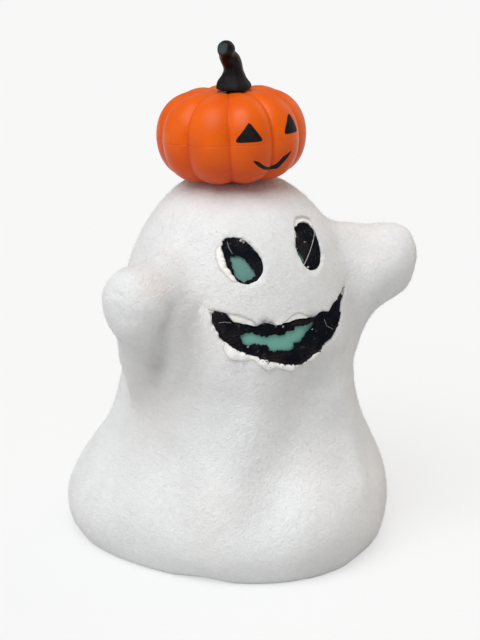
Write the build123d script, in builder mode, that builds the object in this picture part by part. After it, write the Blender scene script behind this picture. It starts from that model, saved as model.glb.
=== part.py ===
"""Flocked ghost lantern with a pumpkin on its head. Millimetres, Z up, floor at Z = 0, the ghost faces -Y."""
import math
import os

from build123d import *

os.makedirs("parts", exist_ok=True)

# Ghost body: heights stand on the floor, drops hang from the crown
body_height = 121.5
hem_radius = 51.3
skirt_radius = 54.3
skirt_height = 8.0
flare_radius = 50.4
flare_height = 24.0
waist_radius = 40.3
waist_height = 47.0
chest_radius = 38.6
chest_drop = 51.5
cheek_radius = 35.8
cheek_drop = 28.5
brow_radius = 28.8
brow_drop = 13.5
temple_radius = 20.4
temple_drop = 4.5
crown_radius = 9.0
wall = 3.0
hem_round = 1.2

# How far each ring of the body lies behind the origin, and how deep its skirt folds are
hem_setback = 2.45
flare_setback = 0.9
waist_setback = -0.1
cheek_setback = 0.4
brow_setback = 0.9
temple_setback = 2.0
crown_setback = 4.4
fold_count = 3
skirt_fold = 2.4
flare_fold = 1.7
waist_fold = 0.2
ring_points = 24

# Raised arms: reach from the body axis, drop below the crown, half width and half depth of each station
arm_angle = 68.0
arm_setback = 1.45
root_reach = 14.0
root_drop = 47.5
root_width = 14.0
root_depth = 29.0
web_reach = 32.0
web_drop = 43.5
web_width = 13.0
web_depth = 26.5
wrist_reach = 42.0
wrist_drop = 36.5
wrist_width = 12.5
wrist_depth = 19.0
hand_reach = 48.0
hand_drop = 31.7
hand_width = 12.2
hand_depth = 14.2
tip_reach = 61.0
tip_rise = 3.0
tip_swings = (35.0, 60.0, 78.0)
arm_wall = 5.5
arm_blend = 10.0

# Cut face: eyes and mouth in the white wall, smaller holes in the lining, plain film behind
eye_spacing = 23.4
eye_offset = -2.4
eye_drop = 17.1
eye_width = 12.0
eye_height = 14.4
mouth_width = 51.0
mouth_tip_drop = 32.5
upper_lip_sag = 5.7
lower_lip_sag = 19.8
lip_round = 0.8
lining_gap = 0.15
lining_thickness = 1.5
lining_width = 60.0
lining_top_drop = 5.0
lining_bottom_drop = 58.0
lining_round = 8.0
lining_eye_margin = 1.9
lining_eye_fall = 1.2
lining_tip_margin = 8.5
lining_upper_margin = 1.4
lining_lower_margin = 4.6
film_thickness = 0.5
film_margin = 2.0

# Pumpkin: two lobed mouldings with a lap joint at the equator, located on the crown by a peg
pumpkin_radius = 24.5
pumpkin_core = 4.0
shoulder_height = 14.95
belly_height = 14.5
pumpkin_wall = 1.8
pumpkin_lean = 5.2
lobe_count = 10
lobe_turn = -121.0
lobe_wobble = 3.0
groove_depth = 2.1
groove_spread = 0.25
pole_angle = 80.0
shoulder_power = 0.6
belly_power = 0.48
ring_shares = (-1.0, -0.85, -0.6, -0.3, 0.0, 0.3, 0.6, 0.85, 1.0)
seat_gap = 0.1
lap_length = 2.0
lap_thickness = 1.0
lap_gap = 0.1
peg_radius = 5.0
peg_length = 5.0
peg_gap = 0.2

# Stem: flared foot, tapered shank that leans over, and a knob whose cut end looks to the front
stem_x = 0.15
stem_setback = -1.15
stem_lift = 0.86
foot_radius = 5.7
foot_rim = 0.8
shank_radius = 3.5
shank_rise = 4.8
bend_radius = 3.15
bend_rise = 7.7
bend_x = -0.45
bend_y = -0.1
neck_radius = 3.0
neck_rise = 10.4
neck_x = -1.9
neck_y = -0.45
knob_radius = 2.9
knob_rise = 13.3
knob_x = -3.6
knob_y = -1.6
knob_root_radius = 2.6
knob_cut = 2.3
knob_round = 0.6
stem_peg_radius = 2.2
stem_peg_length = 4.0
stem_peg_gap = 0.1

# Base plate, held in the hem by three screws
plate_height = 3.0
plate_thickness = 2.5
plate_gap = 0.3
boss_circle = 43.5
boss_turns = (60.0, 180.0, 300.0)
boss_radius = 3.6
boss_top = 38.0
screw_radius = 1.4
screw_length = 12.0
screw_head_radius = 2.8
screw_head_height = 1.6
screw_gap = 0.2
thread_gap = 0.02

# Battery well over the plate for three AAA cells
cell_radius = 5.25
cell_length = 44.5
cell_nub_radius = 1.9
cell_nub_length = 0.9
cell_count = 3
cell_gap = 0.4
well_wall = 1.5
well_clearance = 0.5
spring_length = 4.6
spring_wire = 0.35
spring_radius = 3.0
spring_turns = 3
contact_thickness = 0.4
contact_width = 8.0
contact_height = 8.6
tab_width = 2.4
tab_rise = 3.2

# Battery door, hinged along the rear edge of the well
door_gap = 0.3
door_thickness = 2.0
pin_radius = 0.7
pin_gap = 0.05
knuckle_radius = 1.6
knuckle_gap = 0.3
door_knuckle_length = 8.0
door_knuckle_spacing = 26.0
plate_knuckle_length = 6.0
latch_width = 12.0
latch_length = 3.0
latch_thickness = 1.0
latch_gap = 0.2

# Light board over the well
board_length = 28.0
board_width = 20.0
board_thickness = 1.6
post_height = 3.0
post_radius = 2.2
post_spacing = 21.0
board_screw_radius = 0.9
board_screw_length = 4.2
board_screw_head_radius = 1.8
board_screw_head_height = 1.2
led_radius = 2.5
led_height = 8.6
led_flange_radius = 2.9
led_flange_height = 1.0
led_pitch = 2.54
leg_radius = 0.25
leg_gap = 0.05
leg_length = 2.6
resistor_radius = 1.1
resistor_length = 6.4
resistor_pitch = 10.0
resistor_lift = 0.3
resistor_offset = -7.0

# Slide switch behind the door hinge
switch_setback = 28.0
switch_length = 12.0
switch_width = 6.6
switch_height = 5.0
switch_wall = 1.0
slider_length = 5.4
slider_width = 4.0
slider_height = 1.4
button_length = 3.0
button_width = 2.2
button_drop = 1.5
slider_gap = 0.2
switch_travel = 2.0

# Insulated leads
lead_radius = 0.65
lead_bend = 3.0
lead_reach = 7.0
switch_lead_reach = 14.0
lead_height = 6.5
lead_pad_spacing = 12.0
lead_pad_x = -9.0

# Places worked out from the sizes above
body_rings = [
    (0.0, hem_radius, hem_setback, skirt_fold),
    (skirt_height, skirt_radius, hem_setback, skirt_fold),
    (flare_height, flare_radius, flare_setback, flare_fold),
    (waist_height, waist_radius, waist_setback, waist_fold),
    (body_height - chest_drop, chest_radius, waist_setback, 0.0),
    (body_height - cheek_drop, cheek_radius, cheek_setback, 0.0),
    (body_height - brow_drop, brow_radius, brow_setback, 0.0),
    (body_height - temple_drop, temple_radius, temple_setback, 0.0),
    (body_height, crown_radius, crown_setback, 0.0),
]
arm_stations = [
    (root_reach, root_drop, root_width, root_depth),
    (web_reach, web_drop, web_width, web_depth),
    (wrist_reach, wrist_drop, wrist_width, wrist_depth),
    (hand_reach, hand_drop, hand_width, hand_depth),
]
front = Plane.XZ.offset(skirt_radius + tip_reach)
face_depth = skirt_radius + tip_reach - crown_setback
eye_height_up = body_height - eye_drop
mouth_tip_height = body_height - mouth_tip_drop
lining_inset = wall + lining_gap
film_inset = lining_inset + lining_thickness + lining_gap

pole_share = math.sin(math.radians(pole_angle))
pumpkin_seat = body_height + seat_gap
pumpkin_centre = pumpkin_seat + belly_height * pole_share
pumpkin_top = pumpkin_centre + shoulder_height * pole_share
stem_base = pumpkin_top + stem_lift
stem_y = crown_setback + stem_setback

plate_top = plate_height + plate_thickness
cell_pitch = 2 * cell_radius + cell_gap
door_top = plate_height + door_thickness
cell_height = door_top + cell_gap + cell_radius
well_ceiling = cell_height + cell_radius + cell_gap
well_roof = well_ceiling + well_wall
contact_gap = cell_gap / 2
well_length = cell_length + cell_nub_length + spring_length + 2 * (contact_thickness + contact_gap)
well_width = cell_count * cell_pitch + well_clearance
hinge_y = well_width / 2 + door_gap
board_bottom = well_roof + post_height
board_top = board_bottom + board_thickness
slider_bottom = plate_top + slider_gap
off_place = -switch_travel / 2
lead_top = board_top + lead_height


def ring_outline(radius, setback, fold):
    """Points of one body ring: round, with the skirt folds as a wave."""
    points = []
    for step in range(ring_points):
        turn = 2 * math.pi * step / ring_points
        reach = radius + fold * math.cos(fold_count * turn)
        points.append((reach * math.sin(turn), setback - reach * math.cos(turn)))
    return points


def ghost_form(inset):
    """Body of the ghost without its arms, with the surface moved inwards by inset."""
    with BuildPart() as form:
        for index, (height, radius, setback, fold) in enumerate(body_rings):
            below = body_rings[max(index - 1, 0)]
            above = body_rings[min(index + 1, len(body_rings) - 1)]
            rise = above[0] - below[0]
            narrowing = below[1] - above[1]
            slope = math.hypot(rise, narrowing)
            ring_height = height - inset * narrowing / slope
            if index == 0:
                ring_height = height
            if index == len(body_rings) - 1:
                ring_height = height - inset
            with BuildSketch(Plane.XY.offset(ring_height)):
                with BuildLine():
                    Spline(ring_outline(radius - inset * rise / slope, setback, fold), periodic=True)
                make_face()
        loft()
    return form.part


def raised_arm(side, inset):
    """Arm stump with its hanging web, from inside the body to the rounded tip."""
    turn = math.radians(arm_angle)
    outward = Vector(side * math.sin(turn), -math.cos(turn), 0)
    across = Vector(0, 0, 1).cross(outward)
    shoulder = Vector(0, arm_setback, body_height)
    with BuildPart() as arm:
        for reach, drop, width, depth in arm_stations:
            centre = shoulder + outward * reach - Vector(0, 0, drop)
            with BuildSketch(Plane(origin=centre, x_dir=across, z_dir=outward)):
                Ellipse(width - inset, depth - inset)
        for tip_swing in tip_swings:
            swing = math.radians(tip_swing)
            reach = hand_reach + (tip_reach - inset - hand_reach) * math.sin(swing)
            centre = shoulder + outward * reach + Vector(0, 0, tip_rise * math.sin(swing) - hand_drop)
            with BuildSketch(Plane(origin=centre, x_dir=across, z_dir=outward)):
                Ellipse((hand_width - inset) * math.cos(swing), (hand_depth - inset) * math.cos(swing))
        loft()
    return arm.part


def eye_places(fall):
    """Centres of the two eyes on the front plane, lowered by fall."""
    return [(eye_offset + side * eye_spacing / 2, eye_height_up - fall) for side in (-1, 1)]


def mouth_outline(tip_margin, upper_margin, lower_margin):
    """Crescent mouth on the front plane, drawn in at its tips and at both lips."""
    half = mouth_width / 2 - tip_margin
    upper = mouth_tip_height - upper_lip_sag - upper_margin
    lower = mouth_tip_height - lower_lip_sag + lower_margin
    tip = mouth_tip_height - tip_margin * upper_lip_sag / half
    with BuildSketch(front) as crescent:
        with BuildLine():
            ThreePointArc((-half, tip), (0, upper), (half, tip))
            ThreePointArc((-half, tip), (0, lower), (half, tip))
        make_face()
        fillet(vertices(), lip_round)
    return crescent.sketch


def groove_heading(number):
    """Heading of a groove in radians: the lobes are a little wider on one side than on the other."""
    turn = 2 * math.pi * number / lobe_count
    return math.radians(lobe_turn) + turn + math.radians(lobe_wobble) * math.sin(turn)


def lobed_ring(angle, inset):
    """Scalloped section of the pumpkin at a latitude, with its wall moved inwards by inset."""
    latitude = math.radians(angle)
    fullness = math.cos(latitude) ** (shoulder_power if angle > 0 else belly_power)
    half_height = shoulder_height if angle > 0 else belly_height
    lobe = pumpkin_core + (pumpkin_radius - pumpkin_core - inset) * fullness
    groove = lobe - groove_depth * (1 + groove_spread * math.sin(2 * latitude) ** 2)
    height = pumpkin_centre + (half_height - inset) * math.sin(latitude)
    with BuildSketch(Plane(origin=(0, crown_setback, height), x_dir=(1, 0, 0), z_dir=(0, 0, 1))) as ring:
        with BuildLine():
            for number in range(lobe_count):
                start = groove_heading(number)
                end = groove_heading(number + 1)
                corners = []
                for heading, reach in ((start, groove), ((start + end) / 2, lobe), (end, groove)):
                    corners.append((reach * math.cos(heading), reach * math.sin(heading)))
                ThreePointArc(*corners)
        make_face()
    return ring.sketch


def lobed_form(inset):
    """Whole pumpkin between its flattened poles."""
    with BuildPart() as form:
        for share in ring_shares:
            add(lobed_ring(share * pole_angle, inset))
        loft()
    return form.part


def slab(bottom, top):
    """Flat block, wider than the body, used to cut a form between two heights."""
    with BuildPart() as block:
        with BuildSketch(Plane.XY.offset(bottom)):
            Circle(2 * skirt_radius)
        extrude(amount=top - bottom)
    return block.part


def lobed_band(outer, inner, bottom, top):
    """Wall of the pumpkin between two insets and two heights, leaned back on the crown."""
    lean_axis = Axis((0, crown_setback, pumpkin_centre), (-1, 0, 0))
    with BuildPart() as band:
        add(lobed_form(outer))
        add(slab(bottom, top), mode=Mode.INTERSECT)
        add(lobed_form(inner), mode=Mode.SUBTRACT)
    return band.part.rotate(lean_axis, pumpkin_lean)


def screw(place, head_bottom, head_radius, head_height, radius, length, up):
    """Pan-head screw whose shank runs from the head along up (1) or down (-1)."""
    with BuildPart() as body:
        with BuildSketch(Plane(origin=(place[0], place[1], head_bottom), z_dir=(0, 0, up))):
            Circle(head_radius)
        extrude(amount=head_height)
        fillet(edges().filter_by(GeomType.CIRCLE).sort_by(Axis.Z)[0 if up > 0 else -1], head_height / 2)
        shank_start = (place[0], place[1], head_bottom + up * head_height)
        with BuildSketch(Plane(origin=shank_start, z_dir=(0, 0, up))):
            Circle(radius)
        extrude(amount=length)
    return body.part


boss_places = []
for boss_turn in boss_turns:
    boss_heading = math.radians(boss_turn)
    boss_places.append((boss_circle * math.sin(boss_heading),
                        hem_setback - boss_circle * math.cos(boss_heading)))

# Screw bosses inside the skirt, trimmed to stay within the wall
with BuildPart() as screw_bosses:
    with BuildSketch(Plane.XY.offset(plate_top)):
        with Locations(*boss_places):
            Circle(boss_radius)
    extrude(amount=boss_top - plate_top)
    add(ghost_form(wall / 2), mode=Mode.INTERSECT)
    with BuildSketch(Plane.XY.offset(plate_top)):
        with Locations(*boss_places):
            Circle(screw_radius + thread_gap)
    extrude(amount=screw_length, mode=Mode.SUBTRACT)

# White shell: body and arms blended into one skin, hollow, with the face cut through
with BuildPart() as ghost_shell:
    add(ghost_form(0))
    for arm_side in (-1, 1):
        add(raised_arm(arm_side, 0))
        fillet(edges(Select.NEW), arm_blend)
    fillet(faces().sort_by(Axis.Z)[0].edges(), hem_round)
    add(ghost_form(wall), mode=Mode.SUBTRACT)
    for arm_side in (-1, 1):
        add(raised_arm(arm_side, arm_wall), mode=Mode.SUBTRACT)
    add(screw_bosses.part)
    with BuildSketch(front):
        with Locations(*eye_places(0)):
            Ellipse(eye_width / 2, eye_height / 2)
    extrude(amount=-face_depth, mode=Mode.SUBTRACT)
    extrude(mouth_outline(0, 0, 0), amount=face_depth, dir=(0, 1, 0), mode=Mode.SUBTRACT)
    with BuildSketch(Plane.XY.offset(body_height)):
        with Locations((0, crown_setback)):
            Circle(peg_radius + peg_gap)
    extrude(amount=-2 * wall, mode=Mode.SUBTRACT)
ghost_shell.part.label = "ghost_shell"
export_step(ghost_shell.part, "parts/ghost_shell.step")


def face_sheet(inset, thickness, margin):
    """Curved sheet that lies against the inside of the face."""
    height = lining_bottom_drop - lining_top_drop - 2 * margin
    middle = body_height - (lining_bottom_drop + lining_top_drop) / 2
    with BuildPart() as sheet:
        add(ghost_form(inset))
        add(ghost_form(inset + thickness), mode=Mode.SUBTRACT)
        with BuildSketch(front):
            with Locations((0, middle)):
                RectangleRounded(lining_width - 2 * margin, height, lining_round)
        extrude(amount=-face_depth, mode=Mode.INTERSECT)
    return sheet.part


# Black felt lining with holes a little smaller than the cut face
with BuildPart() as face_liner:
    add(face_sheet(lining_inset, lining_thickness, 0))
    with BuildSketch(front):
        with Locations(*eye_places(lining_eye_fall)):
            Ellipse(eye_width / 2 - lining_eye_margin, eye_height / 2 - lining_eye_margin)
    extrude(amount=-face_depth, mode=Mode.SUBTRACT)
    lining_mouth = mouth_outline(lining_tip_margin, lining_upper_margin, lining_lower_margin)
    extrude(lining_mouth, amount=face_depth, dir=(0, 1, 0), mode=Mode.SUBTRACT)
face_liner.part.label = "face_liner"
export_step(face_liner.part, "parts/face_liner.step")

# Teal film that closes the face from behind
with BuildPart() as face_film:
    add(face_sheet(film_inset, film_thickness, film_margin))
face_film.part.label = "face_film"
export_step(face_film.part, "parts/face_film.step")

# Lower pumpkin moulding, cut flat where it sits, with the peg that locates it in the crown
with BuildPart() as pumpkin_lower_half:
    add(lobed_band(0, pumpkin_wall, body_height, pumpkin_centre))
    add(slab(pumpkin_seat, pumpkin_top), mode=Mode.INTERSECT)
    with BuildSketch(Plane.XY.offset(pumpkin_seat + pumpkin_wall)):
        with Locations((0, crown_setback)):
            Circle(peg_radius)
    extrude(amount=-pumpkin_wall - peg_length)
pumpkin_lower_half.part.label = "pumpkin_lower_half"
export_step(pumpkin_lower_half.part, "parts/pumpkin_lower_half.step")

# Upper pumpkin moulding, with a thin lip on a shoulder that laps inside the lower one
lap_inset = pumpkin_wall + lap_gap
lip_inset = lap_inset + lap_thickness
lap_top = pumpkin_centre + lap_length
with BuildPart() as pumpkin_upper_half:
    add(lobed_band(0, pumpkin_wall, pumpkin_centre, stem_base))
    add(lobed_band(lap_inset, lip_inset, pumpkin_centre - lap_length, lap_top))
    add(lobed_band(pumpkin_wall / 2, (lap_inset + lip_inset) / 2, pumpkin_centre, lap_top))
    with BuildSketch(Plane.XY.offset(stem_base)):
        with Locations((stem_x, stem_y)):
            Circle(stem_peg_radius + stem_peg_gap)
    extrude(amount=-stem_lift - 2 * pumpkin_wall, mode=Mode.SUBTRACT)
pumpkin_upper_half.part.label = "pumpkin_upper_half"
export_step(pumpkin_upper_half.part, "parts/pumpkin_upper_half.step")

# Stem lofted through its foot, shank and neck into the knob, then pegged into the pumpkin
stem_foot = Vector(stem_x, stem_y, stem_base)
knob_centre = stem_foot + Vector(knob_x, knob_y, knob_rise)
neck_centre = stem_foot + Vector(neck_x, neck_y, neck_rise)
knob_heading = Vector(knob_x, knob_y, 0) + (knob_centre - neck_centre).normalized() * knob_radius / 2
stem_stations = [
    (Vector(0, 0, 0), Vector(0, 0, 1), foot_radius),
    (Vector(0, 0, foot_rim), Vector(0, 0, 1), foot_radius),
    (Vector(0, 0, shank_rise), Vector(0, 0, 1), shank_radius),
    (Vector(bend_x, bend_y, bend_rise), Vector(neck_x, neck_y, neck_rise - shank_rise), bend_radius),
    (Vector(neck_x, neck_y, neck_rise), knob_centre - neck_centre, neck_radius),
    (Vector(knob_x, knob_y, knob_rise), knob_centre - neck_centre, knob_root_radius),
]
with BuildPart() as pumpkin_stem:
    for place, heading, radius in stem_stations:
        with BuildSketch(Plane(origin=stem_foot + place, z_dir=heading)):
            Circle(radius)
    loft()
    with Locations(knob_centre):
        Sphere(knob_radius)
    cut_plane = Plane(origin=knob_centre, z_dir=knob_heading).offset(knob_cut)
    with BuildSketch(cut_plane):
        Circle(knob_radius)
    extrude(amount=knob_radius, mode=Mode.SUBTRACT)
    fillet(edges().sort_by_distance(cut_plane.origin)[0], knob_round)
    with BuildSketch(Plane.XY.offset(stem_base)):
        with Locations((stem_x, stem_y)):
            Circle(stem_peg_radius)
    extrude(amount=-stem_lift - stem_peg_length)
pumpkin_stem.part.label = "pumpkin_stem"
export_step(pumpkin_stem.part, "parts/pumpkin_stem.step")

# Base plate with the battery well, board posts, hinge knuckles, latch recess and switch slot
slot_length = button_length + switch_travel + 2 * slider_gap
door_knuckle_reach = door_knuckle_spacing / 2
door_knuckles = [(-door_knuckle_reach, door_knuckle_length), (door_knuckle_reach, door_knuckle_length)]
plate_knuckle_reach = door_knuckle_reach + knuckle_gap + (door_knuckle_length + plate_knuckle_length) / 2
plate_knuckles = [(-plate_knuckle_reach, plate_knuckle_length), (0, plate_knuckle_length),
                  (plate_knuckle_reach, plate_knuckle_length)]
pin_length = 2 * plate_knuckle_reach + plate_knuckle_length


def hinge_rolls(knuckles, radius, extra):
    """Cylinders on the hinge axis, one for each knuckle, each longer by extra at both ends."""
    with BuildPart() as rolls:
        for middle, length in knuckles:
            with BuildSketch(Plane.YZ.offset(middle - length / 2 - extra)):
                with Locations((hinge_y, plate_height)):
                    Circle(radius)
            extrude(amount=length + 2 * extra)
    return rolls.part


with BuildPart() as base_plate:
    add(ghost_form(wall + plate_gap))
    add(slab(plate_height, plate_top), mode=Mode.INTERSECT)
    with BuildSketch(Plane.XY.offset(plate_top)):
        Rectangle(well_length + 2 * well_wall, well_width + 2 * well_wall)
    extrude(amount=well_roof - plate_top)
    with BuildSketch(Plane.XY.offset(plate_height)):
        Rectangle(well_length, well_width)
        with Locations((0, hinge_y / 2)):
            Rectangle(well_length, hinge_y)
    extrude(amount=plate_thickness, mode=Mode.SUBTRACT)
    with BuildSketch(Plane.XY.offset(plate_top)):
        Rectangle(well_length, well_width)
    extrude(amount=well_ceiling - plate_top, mode=Mode.SUBTRACT)
    with BuildSketch(Plane.XY.offset(well_ceiling)):
        for tab_side in (-1, 1):
            with Locations((tab_side * (well_length - contact_thickness) / 2, -tab_side * cell_pitch)):
                Rectangle(contact_thickness + 2 * contact_gap, tab_width + 2 * contact_gap)
    extrude(amount=well_wall, mode=Mode.SUBTRACT)
    with BuildSketch(Plane.XY.offset(well_roof)):
        with GridLocations(post_spacing, 0, 2, 1):
            Circle(post_radius)
            Circle(board_screw_radius + thread_gap, mode=Mode.SUBTRACT)
    extrude(amount=post_height)
    with BuildSketch(Plane.XY.offset(plate_height)):
        with Locations((0, -well_width / 2 - latch_length / 2)):
            Rectangle(latch_width + 2 * latch_gap, latch_length + 2 * latch_gap)
    extrude(amount=latch_thickness + latch_gap, mode=Mode.SUBTRACT)
    with BuildSketch(Plane.XY.offset(plate_height)):
        with Locations((0, switch_setback)):
            Rectangle(slot_length, button_width + 2 * slider_gap)
        with Locations(*boss_places):
            Circle(screw_radius + screw_gap)
    extrude(amount=plate_thickness, mode=Mode.SUBTRACT)
    add(hinge_rolls(door_knuckles, knuckle_radius + knuckle_gap, knuckle_gap), mode=Mode.SUBTRACT)
    add(hinge_rolls(plate_knuckles, knuckle_radius, 0))
    add(hinge_rolls([(0, pin_length)], pin_radius + thread_gap, 0), mode=Mode.SUBTRACT)
base_plate.part.label = "base_plate"
export_step(base_plate.part, "parts/base_plate.step")

# Battery door with its knuckles and thumb latch
door_length = well_length - 2 * door_gap
door_front = -well_width / 2 + door_gap
door_rear = hinge_y - door_gap
with BuildPart() as battery_door:
    with BuildSketch(Plane.XY.offset(plate_height)):
        with Locations((0, (door_front + door_rear) / 2)):
            Rectangle(door_length, door_rear - door_front)
    extrude(amount=door_thickness)
    with BuildSketch(Plane.XY.offset(plate_height)):
        with Locations((0, door_front - latch_length / 2)):
            Rectangle(latch_width, latch_length)
    extrude(amount=latch_thickness)
    add(hinge_rolls(plate_knuckles, knuckle_radius + knuckle_gap, knuckle_gap), mode=Mode.SUBTRACT)
    add(hinge_rolls(door_knuckles, knuckle_radius, 0))
    add(hinge_rolls([(0, pin_length)], pin_radius + pin_gap, 0), mode=Mode.SUBTRACT)
battery_door.part.label = "battery_door"
export_step(battery_door.part, "parts/battery_door.step")

# Hinge pin through all the knuckles
with BuildPart() as door_hinge_pin:
    add(hinge_rolls([(0, pin_length)], pin_radius, 0))
door_hinge_pin.part.label = "door_hinge_pin"
export_step(door_hinge_pin.part, "parts/door_hinge_pin.step")

# Cells lie side by side in turn, each with its positive nub against a plate and a spring at the other end
cell_rows = []
for number in range(cell_count):
    cell_rows.append(((number - (cell_count - 1) / 2) * cell_pitch, 1 if number % 2 == 0 else -1))
contact_face = well_length / 2 - contact_thickness - contact_gap
with BuildPart() as aaa_cells:
    for row_y, facing in cell_rows:
        nub_plane = Plane(origin=(facing * contact_face, row_y, cell_height), z_dir=(-facing, 0, 0))
        with BuildSketch(nub_plane):
            Circle(cell_nub_radius)
        extrude(amount=cell_nub_length)
        with BuildSketch(nub_plane.offset(cell_nub_length)):
            Circle(cell_radius)
        extrude(amount=cell_length)
aaa_cells.part.label = "aaa_cells"
export_step(aaa_cells.part, "parts/aaa_cells.step")

# Coil contacts behind the negative ends
spring_rise = spring_length - 2 * spring_wire - 2 * contact_gap
with BuildPart() as contact_springs:
    for row_y, facing in cell_rows:
        coil_start = Vector(-facing * (contact_face - contact_gap - spring_wire), row_y, cell_height)
        coil = Helix(spring_rise / spring_turns, spring_rise, spring_radius,
                     center=coil_start, direction=(facing, 0, 0))
        with BuildSketch(Plane(origin=coil @ 0, z_dir=coil % 0)):
            Circle(spring_wire)
        sweep(path=coil)
contact_springs.part.label = "contact_springs"
export_step(contact_springs.part, "parts/contact_springs.step")

# Sheet contacts: one single and one bridge at each end, the singles with a tab through the roof
with BuildPart() as contact_plates:
    for end in (-1, 1):
        sheet_plane = Plane(origin=(end * well_length / 2, 0, 0), x_dir=(0, end, 0), z_dir=(-end, 0, 0))
        single = -cell_pitch * (cell_count - 1) / 2
        with BuildSketch(sheet_plane):
            with Locations((single, -cell_height)):
                Rectangle(contact_width, contact_height)
            with Locations((single, -(cell_height + well_roof + tab_rise) / 2)):
                Rectangle(tab_width, well_roof + tab_rise - cell_height)
            with Locations((cell_pitch / 2, -cell_height)):
                Rectangle(cell_pitch + contact_width, contact_height)
        extrude(amount=contact_thickness)
contact_plates.part.label = "contact_plates"
export_step(contact_plates.part, "parts/contact_plates.step")

# Light board on two posts, with holes for its screws and for the legs of the parts on it
resistor_holes = [(resistor_pitch / 2 * side, resistor_offset) for side in (-1, 1)]
led_holes = [(led_pitch / 2 * side, 0) for side in (-1, 1)]
with BuildPart() as light_board:
    with BuildSketch(Plane.XY.offset(board_bottom)):
        RectangleRounded(board_length, board_width, post_radius)
        with GridLocations(post_spacing, 0, 2, 1):
            Circle(board_screw_radius + screw_gap, mode=Mode.SUBTRACT)
        with Locations(*led_holes, *resistor_holes):
            Circle(leg_radius + leg_gap, mode=Mode.SUBTRACT)
    extrude(amount=board_thickness)
light_board.part.label = "light_board"
export_step(light_board.part, "parts/light_board.step")

# Lamp with its flange, dome and two legs
with BuildPart() as led:
    with BuildSketch(Plane.XZ):
        with BuildLine():
            dome = board_top + led_height - led_radius
            lens = led_radius * math.sin(math.radians(45))
            Polyline((0, board_top), (led_flange_radius, board_top),
                     (led_flange_radius, board_top + led_flange_height),
                     (led_radius, board_top + led_flange_height), (led_radius, dome))
            ThreePointArc((led_radius, dome), (lens, dome + lens), (0, dome + led_radius))
            Line((0, dome + led_radius), (0, board_top))
        make_face()
    revolve(axis=Axis.Z)
    with BuildSketch(Plane.XY.offset(board_top)):
        with Locations(*led_holes):
            Circle(leg_radius)
    extrude(amount=-leg_length)
led.part.label = "led"
export_step(led.part, "parts/led.step")

# Axial resistor lying over the board on its bent legs
resistor_height = board_top + resistor_lift + resistor_radius
with BuildPart() as led_resistor:
    with BuildSketch(Plane.YZ.offset(-resistor_length / 2)):
        with Locations((resistor_offset, resistor_height)):
            Circle(resistor_radius)
    extrude(amount=resistor_length)
    fillet(edges().filter_by(GeomType.CIRCLE), resistor_radius / 2)
    with BuildSketch(Plane.YZ.offset(-resistor_pitch / 2)):
        with Locations((resistor_offset, resistor_height)):
            Circle(leg_radius)
    extrude(amount=resistor_pitch)
    with BuildSketch(Plane.XY.offset(resistor_height)):
        with Locations(*resistor_holes):
            Circle(leg_radius)
    extrude(amount=board_top - leg_length - resistor_height)
    with Locations(*[(x, y, resistor_height) for x, y in resistor_holes]):
        Sphere(leg_radius)
led_resistor.part.label = "led_resistor"
export_step(led_resistor.part, "parts/led_resistor.step")

# Board screws into the posts
with BuildPart() as board_screws:
    for screw_side in (-1, 1):
        add(screw((screw_side * post_spacing / 2, 0), board_top + board_screw_head_height,
                  board_screw_head_radius, board_screw_head_height, board_screw_radius,
                  board_screw_length, -1))
board_screws.part.label = "board_screws"
export_step(board_screws.part, "parts/board_screws.step")

# Switch case, open towards the plate
with BuildPart() as switch_case:
    with BuildSketch(Plane.XY.offset(plate_top)):
        with Locations((0, switch_setback)):
            Rectangle(switch_length, switch_width)
            Rectangle(switch_length - 2 * switch_wall, switch_width - 2 * switch_wall, mode=Mode.SUBTRACT)
    extrude(amount=switch_height)
    with BuildSketch(Plane.XY.offset(plate_top + switch_height - switch_wall)):
        with Locations((0, switch_setback)):
            Rectangle(switch_length, switch_width)
    extrude(amount=switch_wall)
switch_case.part.label = "switch_case"
export_step(switch_case.part, "parts/switch_case.step")

# Slider with the button that reaches down through the slot
with BuildPart() as switch_slider:
    with BuildSketch(Plane.XY.offset(slider_bottom)):
        with Locations((off_place, switch_setback)):
            Rectangle(slider_length, slider_width)
    extrude(amount=slider_height)
    with BuildSketch(Plane.XY.offset(slider_bottom)):
        with Locations((off_place, switch_setback)):
            Rectangle(button_length, button_width)
    extrude(amount=plate_height - button_drop - slider_bottom)
    fillet(faces().sort_by(Axis.Z)[0].edges(), slider_gap)
switch_slider.part.label = "switch_slider"
export_step(switch_slider.part, "parts/switch_slider.step")


def lead(points):
    """Round insulated wire along straight runs joined by arcs."""
    with BuildLine() as route:
        FilletPolyline(*points, radius=lead_bend)
    with BuildPart() as wire:
        with BuildSketch(Plane(origin=route.line @ 0, z_dir=route.line % 0)):
            Circle(lead_radius)
        sweep(path=route.line)
    return wire.part


# Red leads: positive tab to the switch, and switch to the board
tab_x = well_length / 2
tab_height = well_roof + tab_rise / 2
switch_end = switch_length / 2
switch_lead_height = plate_top + switch_height / 2
with BuildPart() as red_leads:
    add(lead([
        (tab_x, -cell_pitch, tab_height),
        (tab_x + lead_reach, -cell_pitch, tab_height),
        (tab_x + lead_reach, switch_setback, switch_lead_height),
        (switch_end, switch_setback, switch_lead_height),
    ]))
    add(lead([
        (-switch_end, switch_setback, switch_lead_height),
        (-switch_end - switch_lead_reach, switch_setback, switch_lead_height),
        (-switch_end - switch_lead_reach, switch_setback - lead_bend, lead_top),
        (-switch_end - switch_lead_reach, lead_pad_spacing / 2, lead_top),
        (lead_pad_x, lead_pad_spacing / 2, lead_top),
        (lead_pad_x, lead_pad_spacing / 2, board_top),
    ]))
red_leads.part.label = "red_leads"
export_step(red_leads.part, "parts/red_leads.step")

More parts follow.
